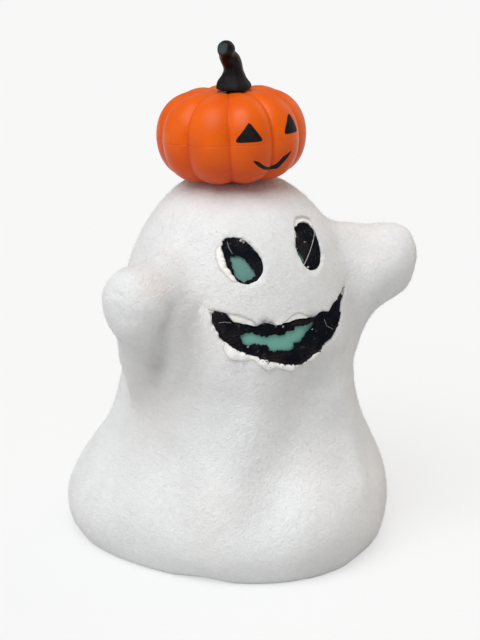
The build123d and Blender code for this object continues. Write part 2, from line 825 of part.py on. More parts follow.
# Black lead: negative tab to the board
with BuildPart() as black_lead:
    add(lead([
        (-tab_x, cell_pitch, tab_height),
        (-tab_x - lead_reach, cell_pitch, tab_height),
        (-tab_x - lead_reach, -lead_pad_spacing / 2, lead_top),
        (lead_pad_x, -lead_pad_spacing / 2, lead_top),
        (lead_pad_x, -lead_pad_spacing / 2, board_top),
    ]))
black_lead.part.label = "black_lead"
export_step(black_lead.part, "parts/black_lead.step")

# Screws that hold the base plate to the shell
with BuildPart() as base_screws:
    for boss_place in boss_places:
        add(screw(boss_place, plate_height - screw_head_height, screw_head_radius, screw_head_height,
                  screw_radius, screw_length, 1))
base_screws.part.label = "base_screws"
export_step(base_screws.part, "parts/base_screws.step")
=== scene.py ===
"""Flocked ghost lantern with a pumpkin on its head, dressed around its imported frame."""

import math

import bmesh
import bpy
import numpy as np
from mathutils import Matrix, Vector, noise
from mathutils.bvhtree import BVHTree
from mathutils.geometry import delaunay_2d_cdt
from mathutils.kdtree import KDTree


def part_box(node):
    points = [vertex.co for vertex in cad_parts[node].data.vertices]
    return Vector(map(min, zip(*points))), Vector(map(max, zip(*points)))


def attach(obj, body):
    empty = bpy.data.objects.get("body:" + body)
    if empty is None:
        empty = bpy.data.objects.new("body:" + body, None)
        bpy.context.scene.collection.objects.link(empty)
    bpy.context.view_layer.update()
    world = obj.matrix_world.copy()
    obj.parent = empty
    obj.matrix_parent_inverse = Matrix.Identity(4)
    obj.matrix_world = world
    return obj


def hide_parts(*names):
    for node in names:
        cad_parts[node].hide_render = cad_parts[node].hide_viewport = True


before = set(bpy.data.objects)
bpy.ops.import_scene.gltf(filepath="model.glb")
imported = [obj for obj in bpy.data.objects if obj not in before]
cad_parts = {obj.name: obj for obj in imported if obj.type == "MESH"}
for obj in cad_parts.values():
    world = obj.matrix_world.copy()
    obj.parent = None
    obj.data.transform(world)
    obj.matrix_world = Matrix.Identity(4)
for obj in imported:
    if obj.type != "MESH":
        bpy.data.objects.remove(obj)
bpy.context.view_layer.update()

# Ghost body: a thin hollow moulding, flocked white all over. The eyes and the smile are cut through its
# front by hand, so their edges wander and the flock rolls over them. It stands on its hem, with soft folds
# from the mould.
MM = 0.001
weld_gap = 0.001 * MM
skin_voxel = 1.2 * MM
sight_count = 10
sight_rise = 0.06
sight_facing = 0.15
sight_lift = 0.05 * MM
open_share = 0.34
thin_wall = 2.0 * MM
arm_root_x, arm_root_z = 25 * MM, 40 * MM
backing_depth = 1.7 * MM
backing_radius = 1.5 * MM
far_front = -200 * MM
front_side = -5 * MM
face_half_width, face_bottom, smile_bottom = 33 * MM, 60 * MM, 62 * MM
cut_step = 0.45
cut_reach = 4.5 * MM
cut_blur = 0.4 * MM
hem_wave, hem_wave_top = 0.55 * MM, 9 * MM
hem_fade = (0.5 * MM, 6 * MM)
flock_start = (2.0 * MM, 2.8 * MM)
bare_step, bare_edge = 0.3, 0.35
# Tables are in mm: waves by height and length, lines by x, y, z and a radius, and outlines by x and z in
# front view
skin_waves = [(0.5, 17), (0.16, 7)]
arm_fold = [(-46.0, -17.0, 88.0, 9.0), (-44.0, -13.0, 78.0, 6.9), (-41.5, -8.0, 68.0, 6.0),
            (-39.4, -3.4, 58.0, 4.9), (-37.6, -1.0, 50.0, 3.0), (-36.2, 0.5, 44.0, 1.2)]
fold_softening = [(3.5 * MM, math.inf, 8), (8 * MM, 68 * MM, 30)]
film_inset = 4.8 * MM
eye_cuts = [(-14.1, 104.4), (9.3, 104.4)]
eye_cut_half = (6.0, 7.2)
eye_stations = 80
mouth_cut_half = 25.5
mouth_corner_height = 89.0
mouth_cut_sags = (83.3, 69.2)
mouth_open_shares = (0.93, 0.965)
lip_steps, lip_stations = 30, 121
mouth_plug = [(-24.9, 88.0), (-25.4, 88.6), (-26.0, 89.2)]
plug_radius = 1.25 * MM
plug_depth = plug_radius + 0.1 * MM
eye_edges = [
    [(-18.4, 107.1), (-16.7, 109.1), (-14.5, 109.9), (-12.5, 109.6), (-10.9, 108.7), (-9.4, 106.5),
     (-8.2, 103.9), (-7.9, 101.4), (-8.8, 99.2), (-10.9, 97.4), (-13.0, 96.6), (-15.0, 96.4),
     (-16.7, 97.2), (-17.8, 98.5), (-18.4, 100.4), (-18.8, 102.5), (-18.9, 104.8)],
    [(5.6, 108.5), (7.0, 109.8), (9.0, 110.5), (11.0, 110.6), (12.6, 110.0), (14.5, 108.7),
     (15.2, 107.5), (15.2, 104.6), (14.7, 101.2), (12.7, 98.4), (10.5, 97.6), (8.5, 97.7),
     (6.8, 98.7), (5.8, 99.7), (5.1, 102.0), (4.6, 104.6), (4.8, 106.8)],
]
upper_lip = [(-26.2, 88.9), (-23.9, 88.7), (-21.6, 88.0), (-20.7, 86.4), (-19.6, 84.5), (-17.9, 84.2),
             (-15.8, 83.8), (-14.0, 82.7), (-12.6, 83.3), (-10.8, 84.4), (-9.4, 83.9), (-7.0, 83.0),
             (-4.7, 83.2), (-3.1, 83.0), (-0.3, 83.7), (2.2, 83.6), (5.2, 83.2), (8.6, 83.9),
             (11.2, 84.2), (13.9, 83.6), (16.4, 85.1), (18.5, 86.2), (21.6, 87.3), (25.9, 89.6)]
lower_lip = [(-26.2, 88.9), (-25.6, 87.2), (-24.9, 83.7), (-23.8, 80.3), (-21.3, 77.5), (-19.0, 76.4),
             (-15.9, 74.9), (-13.3, 73.9), (-10.6, 72.2), (-7.8, 71.7), (-4.8, 70.6), (-2.0, 70.2),
             (0.8, 69.7), (3.4, 70.6), (6.1, 71.9), (9.0, 72.4), (10.1, 74.3), (14.4, 75.4),
             (17.5, 78.1), (19.7, 81.1), (21.0, 84.6), (23.4, 86.5), (25.9, 89.6)]


scene = bpy.context.scene


def linked(name, data):
    """New object in the scene."""
    made = bpy.data.objects.new(name, data)
    scene.collection.objects.link(made)
    return made


def dress(mesh, material):
    """Gives a mesh one material alone."""
    mesh.materials.clear()
    mesh.materials.append(material)


def new_piece(name, mesh, material=None):
    """New piece that rides on the ghost."""
    piece = linked(name, mesh)
    if material is not None:
        dress(mesh, material)
    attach(piece, "ghost")
    return piece


def shape_of(maker):
    """Mesh of an object's evaluated shape."""
    bpy.context.view_layer.update()
    graph = bpy.context.evaluated_depsgraph_get()
    return bpy.data.meshes.new_from_object(maker.evaluated_get(graph), depsgraph=graph)


def plain(piece):
    """Makes a piece's evaluated shape its own plain mesh and drops its modifiers."""
    made = shape_of(piece)
    piece.modifiers.clear()
    piece.data = made
    return made


def even_skin(piece, voxel):
    """Rebuilds a piece's skin from even voxels."""
    skin = piece.modifiers.new("even skin", "REMESH")
    skin.mode = "VOXEL"
    skin.voxel_size = voxel
    return plain(piece)


def weld(mesh):
    """A mesh's faces with their seams welded, to work on."""
    made = bmesh.new()
    made.from_mesh(mesh)
    bmesh.ops.remove_doubles(made, verts=made.verts, dist=weld_gap)
    made.normal_update()
    return made


def soften(made, verts, steps):
    """Smooths some corners of a mesh in steps."""
    for _ in range(steps):
        bmesh.ops.smooth_vert(made, verts=verts, factor=0.5, use_axis_x=True, use_axis_y=True,
                              use_axis_z=True)


def add_ball(made, spot, radius, splits=2):
    """Adds a ball to a mesh that is being worked on."""
    bmesh.ops.create_icosphere(made, subdivisions=splits, radius=radius, matrix=Matrix.Translation(spot))


def rows_of(points, field="co"):
    """A mesh's corners, or another of their vectors, as rows."""
    flat = np.empty(len(points) * 3)
    points.foreach_get(field, flat)
    return flat.reshape(-1, 3)


def point_tree(points):
    """Tree that finds the nearest of some points."""
    tree = KDTree(len(points))
    for index, point in enumerate(points):
        tree.insert(point, index)
    tree.balance()
    return tree


def face_tree(corners, mesh):
    """Tree that finds where a line meets a mesh whose corners are at these rows."""
    return BVHTree.FromPolygons([tuple(row) for row in corners],
                                [tuple(face.vertices) for face in mesh.polygons])


def even_line(points, count):
    """The same number of points at even steps along a line."""
    line = np.array(points, float)
    run = np.concatenate([[0], np.cumsum(np.linalg.norm(np.diff(line, axis=0), axis=1))])
    steps = np.linspace(0, run[-1], count)
    return np.stack([np.interp(steps, run, line[:, axis]) for axis in range(line.shape[1])], axis=1)


def ease(edge_low, edge_high, value):
    """Smooth step from 0 to 1 between two edges."""
    share = np.clip((value - edge_low) / (edge_high - edge_low), 0, 1)
    return share * share * (3 - 2 * share)


def closed_loop(points, step):
    """Closed line with its points about a step apart."""
    line = np.array(list(points) + [points[0]], float)
    length = np.linalg.norm(np.diff(line, axis=0), axis=1).sum()
    return even_line(line, max(8, int(length / step)) + 1)[:-1]


def rounded(loop, times):
    """Closed line with its corners worn off."""
    for _ in range(times):
        loop = (np.roll(loop, 1, axis=0) + 2 * loop + np.roll(loop, -1, axis=0)) / 4
    return loop


def within(points, loop):
    """Which points lie inside a closed line."""
    ends = np.roll(loop, -1, axis=0)
    inside = np.zeros(len(points), bool)
    for (ax, ay), (bx, by) in zip(loop, ends):
        if ay == by:
            continue
        spans = (points[:, 1] < ay) != (points[:, 1] < by)
        inside ^= spans & (points[:, 0] < (bx - ax) * (points[:, 1] - ay) / (by - ay) + ax)
    return inside


def nearest_gap(points, others):
    """How far each point is from the nearest of some others."""
    return np.linalg.norm(points[:, None, :] - others[None], axis=2).min(axis=1)


def depth_within(points, loop):
    """How far points lie inside a closed line, less than 0 outside it."""
    gap = nearest_gap(points, loop)
    return np.where(within(points, loop), gap, -gap)


def falloff(gap, width):
    """Bell curve that is 1 at no gap."""
    return np.exp(-(gap / width) ** 2)


def widened(loop, by):
    """Closed line moved outwards by a width."""
    along = np.roll(loop, -1, axis=0) - np.roll(loop, 1, axis=0)
    across = np.stack([along[:, 1], -along[:, 0]], axis=1)
    across /= np.linalg.norm(across, axis=1)[:, None]
    turning = (loop[:, 0] * np.roll(loop[:, 1], -1) - loop[:, 1] * np.roll(loop[:, 0], -1)).sum()
    return loop + across * by * (1 if turning > 0 else -1)


def in_cuts(points, by=0.0):
    """Which points in front view, in mm, lie inside the cuts when these are widened."""
    inside = np.zeros(len(points), bool)
    for loop in cut_loops:
        inside |= within(points, widened(loop, by))
    return inside


def front_hit(tree, x, z):
    """Where a level line of sight from the front first meets a surface, or None."""
    return tree.ray_cast(Vector((x, far_front, z)), Vector((0, 1, 0)))[0]


# The film behind the face, moved out to the skin, gives the face's form without its cuts
face_skin = weld(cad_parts["face_film"].data)
inward = [face for face in face_skin.faces if face.normal.y > -0.2]
bmesh.ops.delete(face_skin, geom=inward, context="FACES")
face_skin.normal_update()
for vert in face_skin.verts:
    vert.co += vert.normal * film_inset
face_form = BVHTree.FromBMesh(face_skin)
face_skin.free()


def skin_at(x, z):
    """Place on the uncut skin of the face, as seen from the front, or None beside the face."""
    return front_hit(face_form, x, z)


sight_turns = np.arange(sight_count) * 2 * math.pi / sight_count
sight_lines = [Vector((math.cos(turn), math.sin(turn), sight_rise)).normalized() for turn in sight_turns]
sight_lines.append(Vector((0.1, 0.05, 1)).normalized())


def outside(tree, spot, facing):
    """Whether a place on a hollow wall is on its outside: a good part of its sight lines meet nothing."""
    ahead = [sight for sight in sight_lines if sight.dot(facing) > sight_facing]
    start = spot + facing * sight_lift
    free = sum(tree.ray_cast(start, sight)[0] is None for sight in ahead)
    return bool(ahead) and free >= open_share * len(ahead)


# Where the moulding is thin at the roots of the arms it is backed from inside, so that the even skin stays
# whole
body_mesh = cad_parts["ghost_shell"].data.copy()
welded = weld(body_mesh)
shell_tree = BVHTree.FromBMesh(welded)
backings = {}
for face in welded.faces:
    middle = face.calc_center_median()
    if middle.z < arm_root_z or abs(middle.x) < arm_root_x:
        continue
    for spot in [middle] + [(middle + vert.co) / 2 for vert in face.verts]:
        across = shell_tree.ray_cast(spot - face.normal * (0.02 * MM), -face.normal)
        if across[0] is not None and across[3] < thin_wall and outside(shell_tree, spot, face.normal):
            behind = spot - face.normal * backing_depth
            backings[tuple(round(side / backing_depth) for side in behind)] = behind
for spot in backings.values():
    add_ball(welded, spot, backing_radius, 1)

# Under the nearer arm the soft skin hangs in one fold down to the skirt, and one end of the smile is filled
fold_line = even_line(arm_fold, 60) * MM
for *spot, radius in fold_line:
    add_ball(welded, spot, radius)
for x, z in mouth_plug:
    add_ball(welded, skin_at(x * MM, z * MM) + Vector((0, plug_depth, 0)), plug_radius)
welded.to_mesh(body_mesh)
welded.free()
ghost_body = linked("ghost_body", body_mesh)
body_mesh = even_skin(ghost_body, skin_voxel)

# Every cut edge of the frame's shell is drawn over to the hand-cut line
eye_loops = [rounded(closed_loop(edge, cut_step), 5) for edge in eye_edges]
cut_loops = eye_loops + [closed_loop(upper_lip + lower_lip[-2:0:-1], cut_step)]
cut_from, cut_to = [], []
for middle, edge in zip(eye_cuts, eye_loops):
    loop = edge - middle
    turns = np.arctan2(loop[:, 1], loop[:, 0])
    reach = np.hypot(loop[:, 0], loop[:, 1])
    order = np.argsort(turns)
    for step in range(eye_stations):
        turn = -math.pi + 2 * math.pi * step / eye_stations
        heading = np.array((math.cos(turn), math.sin(turn)))
        cut = 1 / math.hypot(*(heading / eye_cut_half))
        wide = np.interp(turn, turns[order], reach[order], period=2 * math.pi)
        cut_from.append(middle + heading * cut)
        cut_to.append(middle + heading * wide)
for sag, lip in zip(mouth_cut_sags, (upper_lip, lower_lip)):
    drop = mouth_corner_height - sag
    curve = (mouth_cut_half ** 2 + drop ** 2) / (2 * drop)
    swing = math.asin(mouth_cut_half / curve)
    arc = []
    for step in range(-lip_steps, lip_steps + 1):
        turn = swing * (step / lip_steps) * mouth_open_shares[step >= 0]
        arc.append((curve * math.sin(turn), sag + curve * (1 - math.cos(turn))))
    cut_from.extend(even_line(arc, lip_stations))
    cut_to.extend(even_line(lip, lip_stations))
cut_from = np.array(cut_from) * MM
cut_shift = np.array(cut_to) * MM - cut_from

# The fold is softened, and round the cuts the skin is split finer, so that their hand-cut edges stay crisp
finer = bmesh.new()
finer.from_mesh(body_mesh)
fold_tree = point_tree(fold_line[:, :3])
soft_bands = [[] for _ in fold_softening]
for vert in finer.verts:
    _, index, gap = fold_tree.find(vert.co)
    for band, (reach, top, _) in zip(soft_bands, fold_softening):
        if vert.co.z < top and gap < fold_line[index][3] + reach:
            band.append(vert)
for band, (_, _, steps) in zip(soft_bands, fold_softening):
    soften(finer, band, steps)
cut_tree = point_tree([(x, 0, z) for x, z in cut_from])
near_cut = []
for edge in finer.edges:
    middle = (edge.verts[0].co + edge.verts[1].co) / 2
    if middle.y < front_side and cut_tree.find((middle.x, 0, middle.z))[2] < cut_reach:
        near_cut.append(edge)
split_up = bmesh.ops.subdivide_edges(finer, edges=near_cut, cuts=2, use_grid_fill=True)
soften(finer, [item for item in split_up["geom_inner"] if isinstance(item, bmesh.types.BMVert)], 2)
finer.to_mesh(body_mesh)
finer.free()

places = rows_of(body_mesh.vertices)
on_face = ((places[:, 1] < front_side) & (places[:, 2] > face_bottom)
           & (np.abs(places[:, 0]) < face_half_width))
face_ids = np.nonzero(on_face)[0]
apart = np.linalg.norm(places[face_ids][:, (0, 2)][:, None, :] - cut_from[None], axis=2)
pull = 1 / (apart ** 2 + cut_blur ** 2) ** 2
shift = (pull[:, :, None] * cut_shift[None]).sum(axis=1) / pull.sum(axis=1)[:, None]
shift *= falloff(apart.min(axis=1), cut_reach)[:, None]
for index, (right, up) in zip(face_ids, shift):
    x, _, z = places[index]
    old, new = skin_at(x, z), skin_at(x + right, z + up)
    places[index] += (right, 0 if old is None or new is None else new.y - old.y, up)
body_mesh.vertices.foreach_set("co", places.ravel())
body_mesh.update()
body_tree = face_tree(places, body_mesh)
normals = rows_of(body_mesh.vertex_normals, "vector")
outer = np.array([outside(body_tree, Vector(spot), Vector(way)) for spot, way in zip(places, normals)])

# Creases, folds and swellings of the soft form, as lines on the skin with a width and a depth
arm_crease = [(-36.1, -23.5, 97.1), (-37.4, -24.9, 95.7), (-39.8, -27.1, 91.5), (-41.6, -26.9, 85.8),
              (-41.5, -24.7, 81.2), (-40.6, -21.4, 76.6), (-39.8, -18.6, 72.0), (-39.1, -16.4, 67.9),
              (-38.6, -13.8, 63.1), (-39.0, -10.7, 58.4), (-39.5, -8.3, 54.2)]
creases = [
    (arm_crease[2:8], 4.2, -1.1),
    (arm_crease[3:8], 2.2, -1.3),
    ([(-55.1, -21.6, 97.4), (-56.0, -22.0, 94.1), (-55.4, -22.7, 90.3)], 1.5, -0.8),
    ([(6.0, -38.0, 58.0), (3.0, -38.5, 50.0), (-1.0, -40.0, 43.0), (-6.0, -42.0, 36.0), (-12.0, -44.5, 28.5),
      (-16.0, -46.5, 23.0)], 9.0, -2.4),
    ([(-14.0, -35.0, 59.0), (-17.0, -35.0, 51.0), (-20.5, -36.0, 42.0), (-25.0, -38.0, 31.7)], 8.5, 1.7),
    ([(14.0, -36.5, 56.0), (13.0, -37.0, 47.0), (10.0, -39.0, 37.0)], 10.0, -1.2),
    ([(21.4, -33.2, 53.2), (23.8, -34.1, 44.2), (23.6, -38.3, 35.1), (21.2, -44.6, 27.3)], 6.0, 1.3),
]
crease_stations = 24
heave = np.zeros(len(places))
for line, width, depth in creases:
    heave += depth * MM * falloff(nearest_gap(places, even_line(line, crease_stations) * MM), width * MM)
lip_bumps = [(-20.8, 74.6, 1.7, 0.6), (-17.6, 74.2, 1.3, 0.45), (-12.0, 71.2, 1.8, 0.6),
             (-9.9, 69.8, 1.2, 0.5), (-5.6, 69.6, 1.4, 0.4), (-2.6, 68.5, 1.6, 0.7),
             (2.0, 69.6, 1.4, 0.4), (5.6, 70.6, 1.8, 0.7), (8.4, 72.0, 1.2, 0.5)]
in_front = places[:, 1] < front_side


def front_gap(x, z):
    """How far the skin's points are, in front view, from a place in mm."""
    return np.hypot(places[:, 0] - x * MM, places[:, 2] - z * MM)


for x, z, size, rise in lip_bumps:
    heave += in_front * rise * MM * falloff(front_gap(x, z), size * MM)
belly_hollow = 1.9 * MM
belly_middle_x, belly_half_width = -2 * MM, 26 * MM
belly_foot, belly_top = (16 * MM, 38 * MM), (58 * MM, 74 * MM)
belly_flank = (-20 * MM, -8 * MM)
hollow = ease(*belly_foot, places[:, 2]) * (1 - ease(*belly_top, places[:, 2]))
hollow *= falloff(places[:, 0] - belly_middle_x, belly_half_width) * (1 - ease(*belly_flank, places[:, 1]))
heave -= belly_hollow * hollow

# Round the cuts the hot knife has left bare, smooth plastic: rolled rims that stand up and flaps that lie
# deeper
bare_patches = [
    ([(-18.3, 108.6), (-20.4, 106.4), (-21.0, 104.3), (-21.0, 101.5), (-19.7, 99.1), (-18.0, 97.1),
      (-16.4, 97.6), (-17.4, 99.5), (-18.2, 102.0), (-18.4, 105.0), (-17.6, 107.5)], 0.35),
    ([(5.9, 109.0), (6.4, 110.8), (8.5, 113.0), (12.4, 112.7), (15.6, 111.2), (15.7, 109.0), (13.5, 108.4),
      (10.0, 109.5)], -0.8),
    ([(-23.2, 76.6), (-21.3, 73.3), (-17.6, 72.7), (-15.1, 73.2), (-13.8, 71.8), (-10.7, 68.8), (-8.2, 70.0),
      (-2.4, 67.4), (1.3, 69.0), (5.7, 69.6), (8.9, 71.4), (10.4, 74.0), (5.0, 74.0), (0.0, 72.5),
      (-9.0, 74.5), (-17.0, 78.0), (-22.0, 80.5)], 0.3),
    ([(-21.6, 88.1), (-18.1, 87.4), (-14.4, 85.6), (-13.0, 83.2), (-15.0, 82.0), (-18.5, 83.0), (-20.3, 84.0),
      (-21.3, 86.7)], -0.45),
    ([(-5.3, 83.4), (-2.1, 85.8), (0.8, 86.6), (3.7, 85.2), (6.5, 84.0), (5.0, 82.2), (0.0, 82.5),
      (-3.5, 82.2)], -0.4),
]
bare = np.zeros(len(places))
ahead = np.nonzero(in_front & (places[:, 2] > smile_bottom))[0]
flat = places[ahead][:, (0, 2)] / MM
for loop, rise in bare_patches:
    cover = ease(-bare_edge, bare_edge, depth_within(flat, rounded(closed_loop(loop, bare_step), 6)))
    heave[ahead] += rise * MM * cover
    bare[ahead] = np.maximum(bare[ahead], cover)

# The flock is darkened in spots beside the cuts, has painted shade along the arm crease, and is rosy on the
# nearer arm
dark_spots = [(-11.1, 84.9, 1.3, 0.9), (-9.2, 84.3, 1.2, 0.8), (-12.6, 84.0, 0.9, 0.6), (6.3, 84.4, 2.2, 0.3),
              (16.4, 85.6, 1.2, 0.35)]
rosy_spots = [(-46.0, -24.0, 100.0, 4.5), (-43.0, -25.0, 97.5, 3.5)]
crease_shade, crease_shade_width = 0.2, 2.6 * MM
spots_and_crease_shade = np.zeros(len(places))
for x, z, size, share in dark_spots:
    spots_and_crease_shade = np.maximum(spots_and_crease_shade, in_front * share * falloff(front_gap(x, z), size * MM))
# Painted shade: the flock is darkened along the arm crease
crease_gap = nearest_gap(places, even_line(arm_crease[2:9], crease_stations) * MM)
spots_and_crease_shade = np.maximum(spots_and_crease_shade, crease_shade * falloff(crease_gap, crease_shade_width))
rosy = np.zeros(len(places))
for *spot, size in rosy_spots:
    rosy = np.maximum(rosy, falloff(np.linalg.norm(places - np.array(spot) * MM, axis=1), size * MM))

# The outer skin takes these forms, the inner skin follows it, and the hem stands on its high spots
outer_ids = np.nonzero(outer)[0]
for index in outer_ids:
    spot = Vector(places[index])
    heave[index] += sum(height * MM * noise.noise(spot / (length * MM)) for height, length in skin_waves)
heave *= outer * ease(*hem_fade, places[:, 2])
skin_shift = normals * heave[:, None]
nearest_skin = point_tree(places[outer_ids])
for index in np.nonzero(~outer)[0]:
    skin_shift[index] = skin_shift[outer_ids[nearest_skin.find(places[index])[1]]]
places += skin_shift
around = np.arctan2(places[:, 1], places[:, 0])
wave = np.maximum(0, np.sin(around * 5 + 0.8) + 0.6 * np.sin(around * 11 + 2.0))
places[:, 2] += hem_wave * wave * (1 - ease(0, hem_wave_top, places[:, 2]))
places[:, 2] = np.maximum(places[:, 2], 0)
body_mesh.vertices.foreach_set("co", places.ravel())
body_mesh.shade_smooth()
flock_mask = outer * ease(*flock_start, places[:, 2]) * (1 - bare)
flock_mask[ahead] *= 1 - in_cuts(places[ahead][:, (0, 2)] / MM)


def mark_points(mesh, name, values):
    """Gives a mesh's points a value under a name."""
    mesh.attributes.new(name, "FLOAT", "POINT").data.foreach_set("value", values.astype(np.float32))


for name, values in (("flocked", flock_mask), ("bare", bare), ("spots_and_crease_shade", spots_and_crease_shade), ("rosy", rosy)):
    mark_points(body_mesh, name, values)


class Wire:
    """An output in a node tree: sums on it add Math nodes, and node() adds any other kind."""

    def __init__(self, tree, output):
        self.tree = tree
        self.output = output

    def node(self, kind, settings=None, inputs=None, output=0):
        """Adds a node, sets it up, joins or fills its inputs and gives one of its outputs."""
        made = self.tree.nodes.new(kind)
        for name, value in (settings or {}).items():
            setattr(made, name, value)
        for name, value in (inputs or {}).items():
            if isinstance(value, Wire):
                self.tree.links.new(value.output, made.inputs[name])
            else:
                made.inputs[name].default_value = value
        return Wire(self.tree, made.outputs[output])

    def sum(self, operation, *values):
        return self.node("ShaderNodeMath", {"operation": operation}, dict(enumerate(values)))

    def __add__(self, other):
        return self.sum("ADD", self, other)

    __radd__ = __add__

    def __sub__(self, other):
        return self.sum("SUBTRACT", self, other)

    def __rsub__(self, other):
        return self.sum("SUBTRACT", other, self)

    def __mul__(self, other):
        return self.sum("MULTIPLY", self, other)

    __rmul__ = __mul__

    def __truediv__(self, other):
        return self.sum("DIVIDE", self, other)

    def __pow__(self, other):
        return self.sum("POWER", self, other)

    def feed(self, node, socket):
        """Joins this output to a socket of a node that is already there."""
        self.tree.links.new(self.output, node.inputs[socket])


def new_finish(name, **fixed):
    """New material, with the piece's own coordinates and its shader."""
    material = bpy.data.materials.new(name)
    material.use_nodes = True
    tree = material.node_tree
    shader = tree.nodes["Principled BSDF"]
    for socket, value in fixed.items():
        shader.inputs[socket.replace("_", " ")].default_value = value
    return material, Wire(tree, tree.nodes.new("ShaderNodeTexCoord").outputs["Object"]), shader


def grain(place, scale, detail=2.0, roughness=0.5):
    """Noise value over a piece, in grains per metre."""
    return place.node("ShaderNodeTexNoise", None,
                      {"Vector": place, "Scale": scale, "Detail": detail, "Roughness": roughness})


def mixed(share, first, second):
    """Colour between two colours."""
    return share.node("ShaderNodeMix", {"data_type": "RGBA"}, {0: share, 6: first, 7: second}, 2)


def span(value, low, high):
    """Value stretched to run from 0 at low to 1 at high."""
    return value.node("ShaderNodeMapRange", None, {0: value, 1: low, 2: high, 3: 0.0, 4: 1.0})


def patches(place, scale, detail=2.0, roughness=0.5, low=0.3, high=0.7):
    """Noise over a piece, stretched to run from 0 to 1 between two levels."""
    return span(grain(place, scale, detail, roughness), low, high)


def mark(place, name):
    """Value that a piece's own points carry under a name."""
    return place.node("ShaderNodeAttribute", {"attribute_name": name}, None, "Fac")


def bump(height, strength, distance):
    """Normal from a height."""
    return height.node("ShaderNodeBump", None, {"Height": height, "Strength": strength, "Distance": distance})


white_flock, place, shader = new_finish("white_flock", Roughness=1.0, Sheen_Weight=0.25, Sheen_Roughness=0.6,
                                        Specular_IOR_Level=0.1)
mottle = patches(place, 60, 4.0, 0.6, 0.38, 0.62)
blush = patches(place, 23, low=0.45, high=0.7)
nap = patches(place, 1300, 3.0, 0.7)
clump = patches(place, 520, 3.0, 0.6, 0.35, 0.65)
tone = mixed(mottle, (0.86, 0.87, 0.87, 1), (0.79, 0.795, 0.80, 1))
tone = mixed(blush * 0.6, tone, (0.85, 0.805, 0.79, 1))
tone = mixed(clump * 0.35, tone, (0.74, 0.74, 0.735, 1))
tone = mixed(nap * 0.35, tone, (0.66, 0.66, 0.655, 1))
smooth_patch = mark(place, "bare")
patchy = patches(place, 330, low=0.32, high=0.6)
tone = mixed(smooth_patch * (0.25 + patchy * 0.75), tone, (0.88, 0.86, 0.83, 1))
# A thin darker line round the edge of each bare patch is painted shade of the crease where it meets the flock
tone = mixed(smooth_patch * (1.0 - smooth_patch) * (1.2 + patchy * 1.6), tone, (0.50, 0.46, 0.42, 1))
tone = mixed(mark(place, "rosy") * 0.6, tone, (0.80, 0.70, 0.68, 1))
# Darker spots beside the cuts, and painted shade along the arm crease
tone = mixed(mark(place, "spots_and_crease_shade"), tone, (0.22, 0.215, 0.25, 1))
tone.feed(shader, "Base Color")
nap_height = (nap + clump * 0.7) * (1.0 - smooth_patch * 0.85)
bump(nap_height, 0.55, 0.3 * MM).feed(shader, "Normal")

dress(body_mesh, white_flock)
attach(ghost_body, "ghost")
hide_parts("ghost_shell")

# Flock: short white fibres blown onto the shell's glue, most of them lying over. They stand a little proud
# of the skin, soften its outline and hang over the edges of the cuts.
flock_length = 1.25 * MM
flock_thickness = 0.045 * MM
flock_density = 0.85e6
flock_leans = (0.75, 1.5)
flock_seed = 7


def new_tree(name, inputs):
    """New Geometry Nodes tree, the wires from its inputs and their identifiers."""
    tree = bpy.data.node_groups.new(name, "GeometryNodeTree")
    keys = {}
    for label, kind in inputs.items():
        socket = tree.interface.new_socket(label, in_out="INPUT", socket_type="NodeSocket" + kind)
        keys[label] = socket.identifier
    tree.interface.new_socket("Geometry", in_out="OUTPUT", socket_type="NodeSocketGeometry")
    entry = tree.nodes.new("NodeGroupInput")
    return tree, {socket.name: Wire(tree, socket) for socket in entry.outputs if socket.name}, keys


def shape_by(piece, tree, keys, values):
    """Shapes a piece with a node tree and makes the result its plain mesh."""
    maker = piece.modifiers.new(tree.name, "NODES")
    maker.node_group = tree
    for label, value in values.items():
        maker[keys[label]] = value
    return plain(piece)


def fibre_tree():
    """Node tree that sets leaning needles on the flocked part of the surface it is given."""
    tree, give, keys = new_tree("flock fibres", {
        "Geometry": "Geometry", "Fibres per square metre": "Float", "Length": "Float", "Thickness": "Float",
        "Least lean": "Float", "Most lean": "Float", "Seed": "Int", "Finish": "Material"})
    start = give["Geometry"]

    def chosen(low, high, shift):
        """Value of its own for each fibre."""
        return start.node("FunctionNodeRandomValue", {"data_type": "FLOAT"},
                          {2: low, 3: high, "Seed": give["Seed"] + shift}, 1)

    mask = start.node("GeometryNodeInputNamedAttribute", {"data_type": "FLOAT"}, {"Name": "flocked"})
    points = start.node("GeometryNodeDistributePointsOnFaces", None,
                        {"Mesh": start, "Density": give["Fibres per square metre"] * mask,
                         "Seed": give["Seed"]})
    upright = Wire(tree, points.output.node.outputs["Rotation"])
    lean = chosen(give["Least lean"], give["Most lean"], 0)
    tilt = start.node("ShaderNodeCombineXYZ", None, {0: lean, 2: chosen(0.0, 2 * math.pi, 1)})
    tilt = start.node("FunctionNodeEulerToRotation", None, {0: tilt})
    turned = start.node("FunctionNodeRotateRotation", {"rotation_space": "LOCAL"}, {0: upright, 1: tilt})
    needle = start.node("GeometryNodeMeshCone", None,
                        {"Vertices": 3, "Radius Top": 0.0, "Radius Bottom": give["Thickness"],
                         "Depth": give["Length"]})
    size = start.node("ShaderNodeCombineXYZ", None, {0: 1.0, 1: 1.0, 2: chosen(0.55, 1.25, 2)})
    made = start.node("GeometryNodeInstanceOnPoints", None,
                      {"Points": points, "Instance": needle, "Rotation": turned, "Scale": size})
    made = start.node("GeometryNodeRealizeInstances", None, {"Geometry": made})
    made = start.node("GeometryNodeSetMaterial", None, {"Geometry": made, "Material": give["Finish"]})
    made.feed(tree.nodes.new("NodeGroupOutput"), "Geometry")
    return tree, keys


fibres, fibre_keys = fibre_tree()


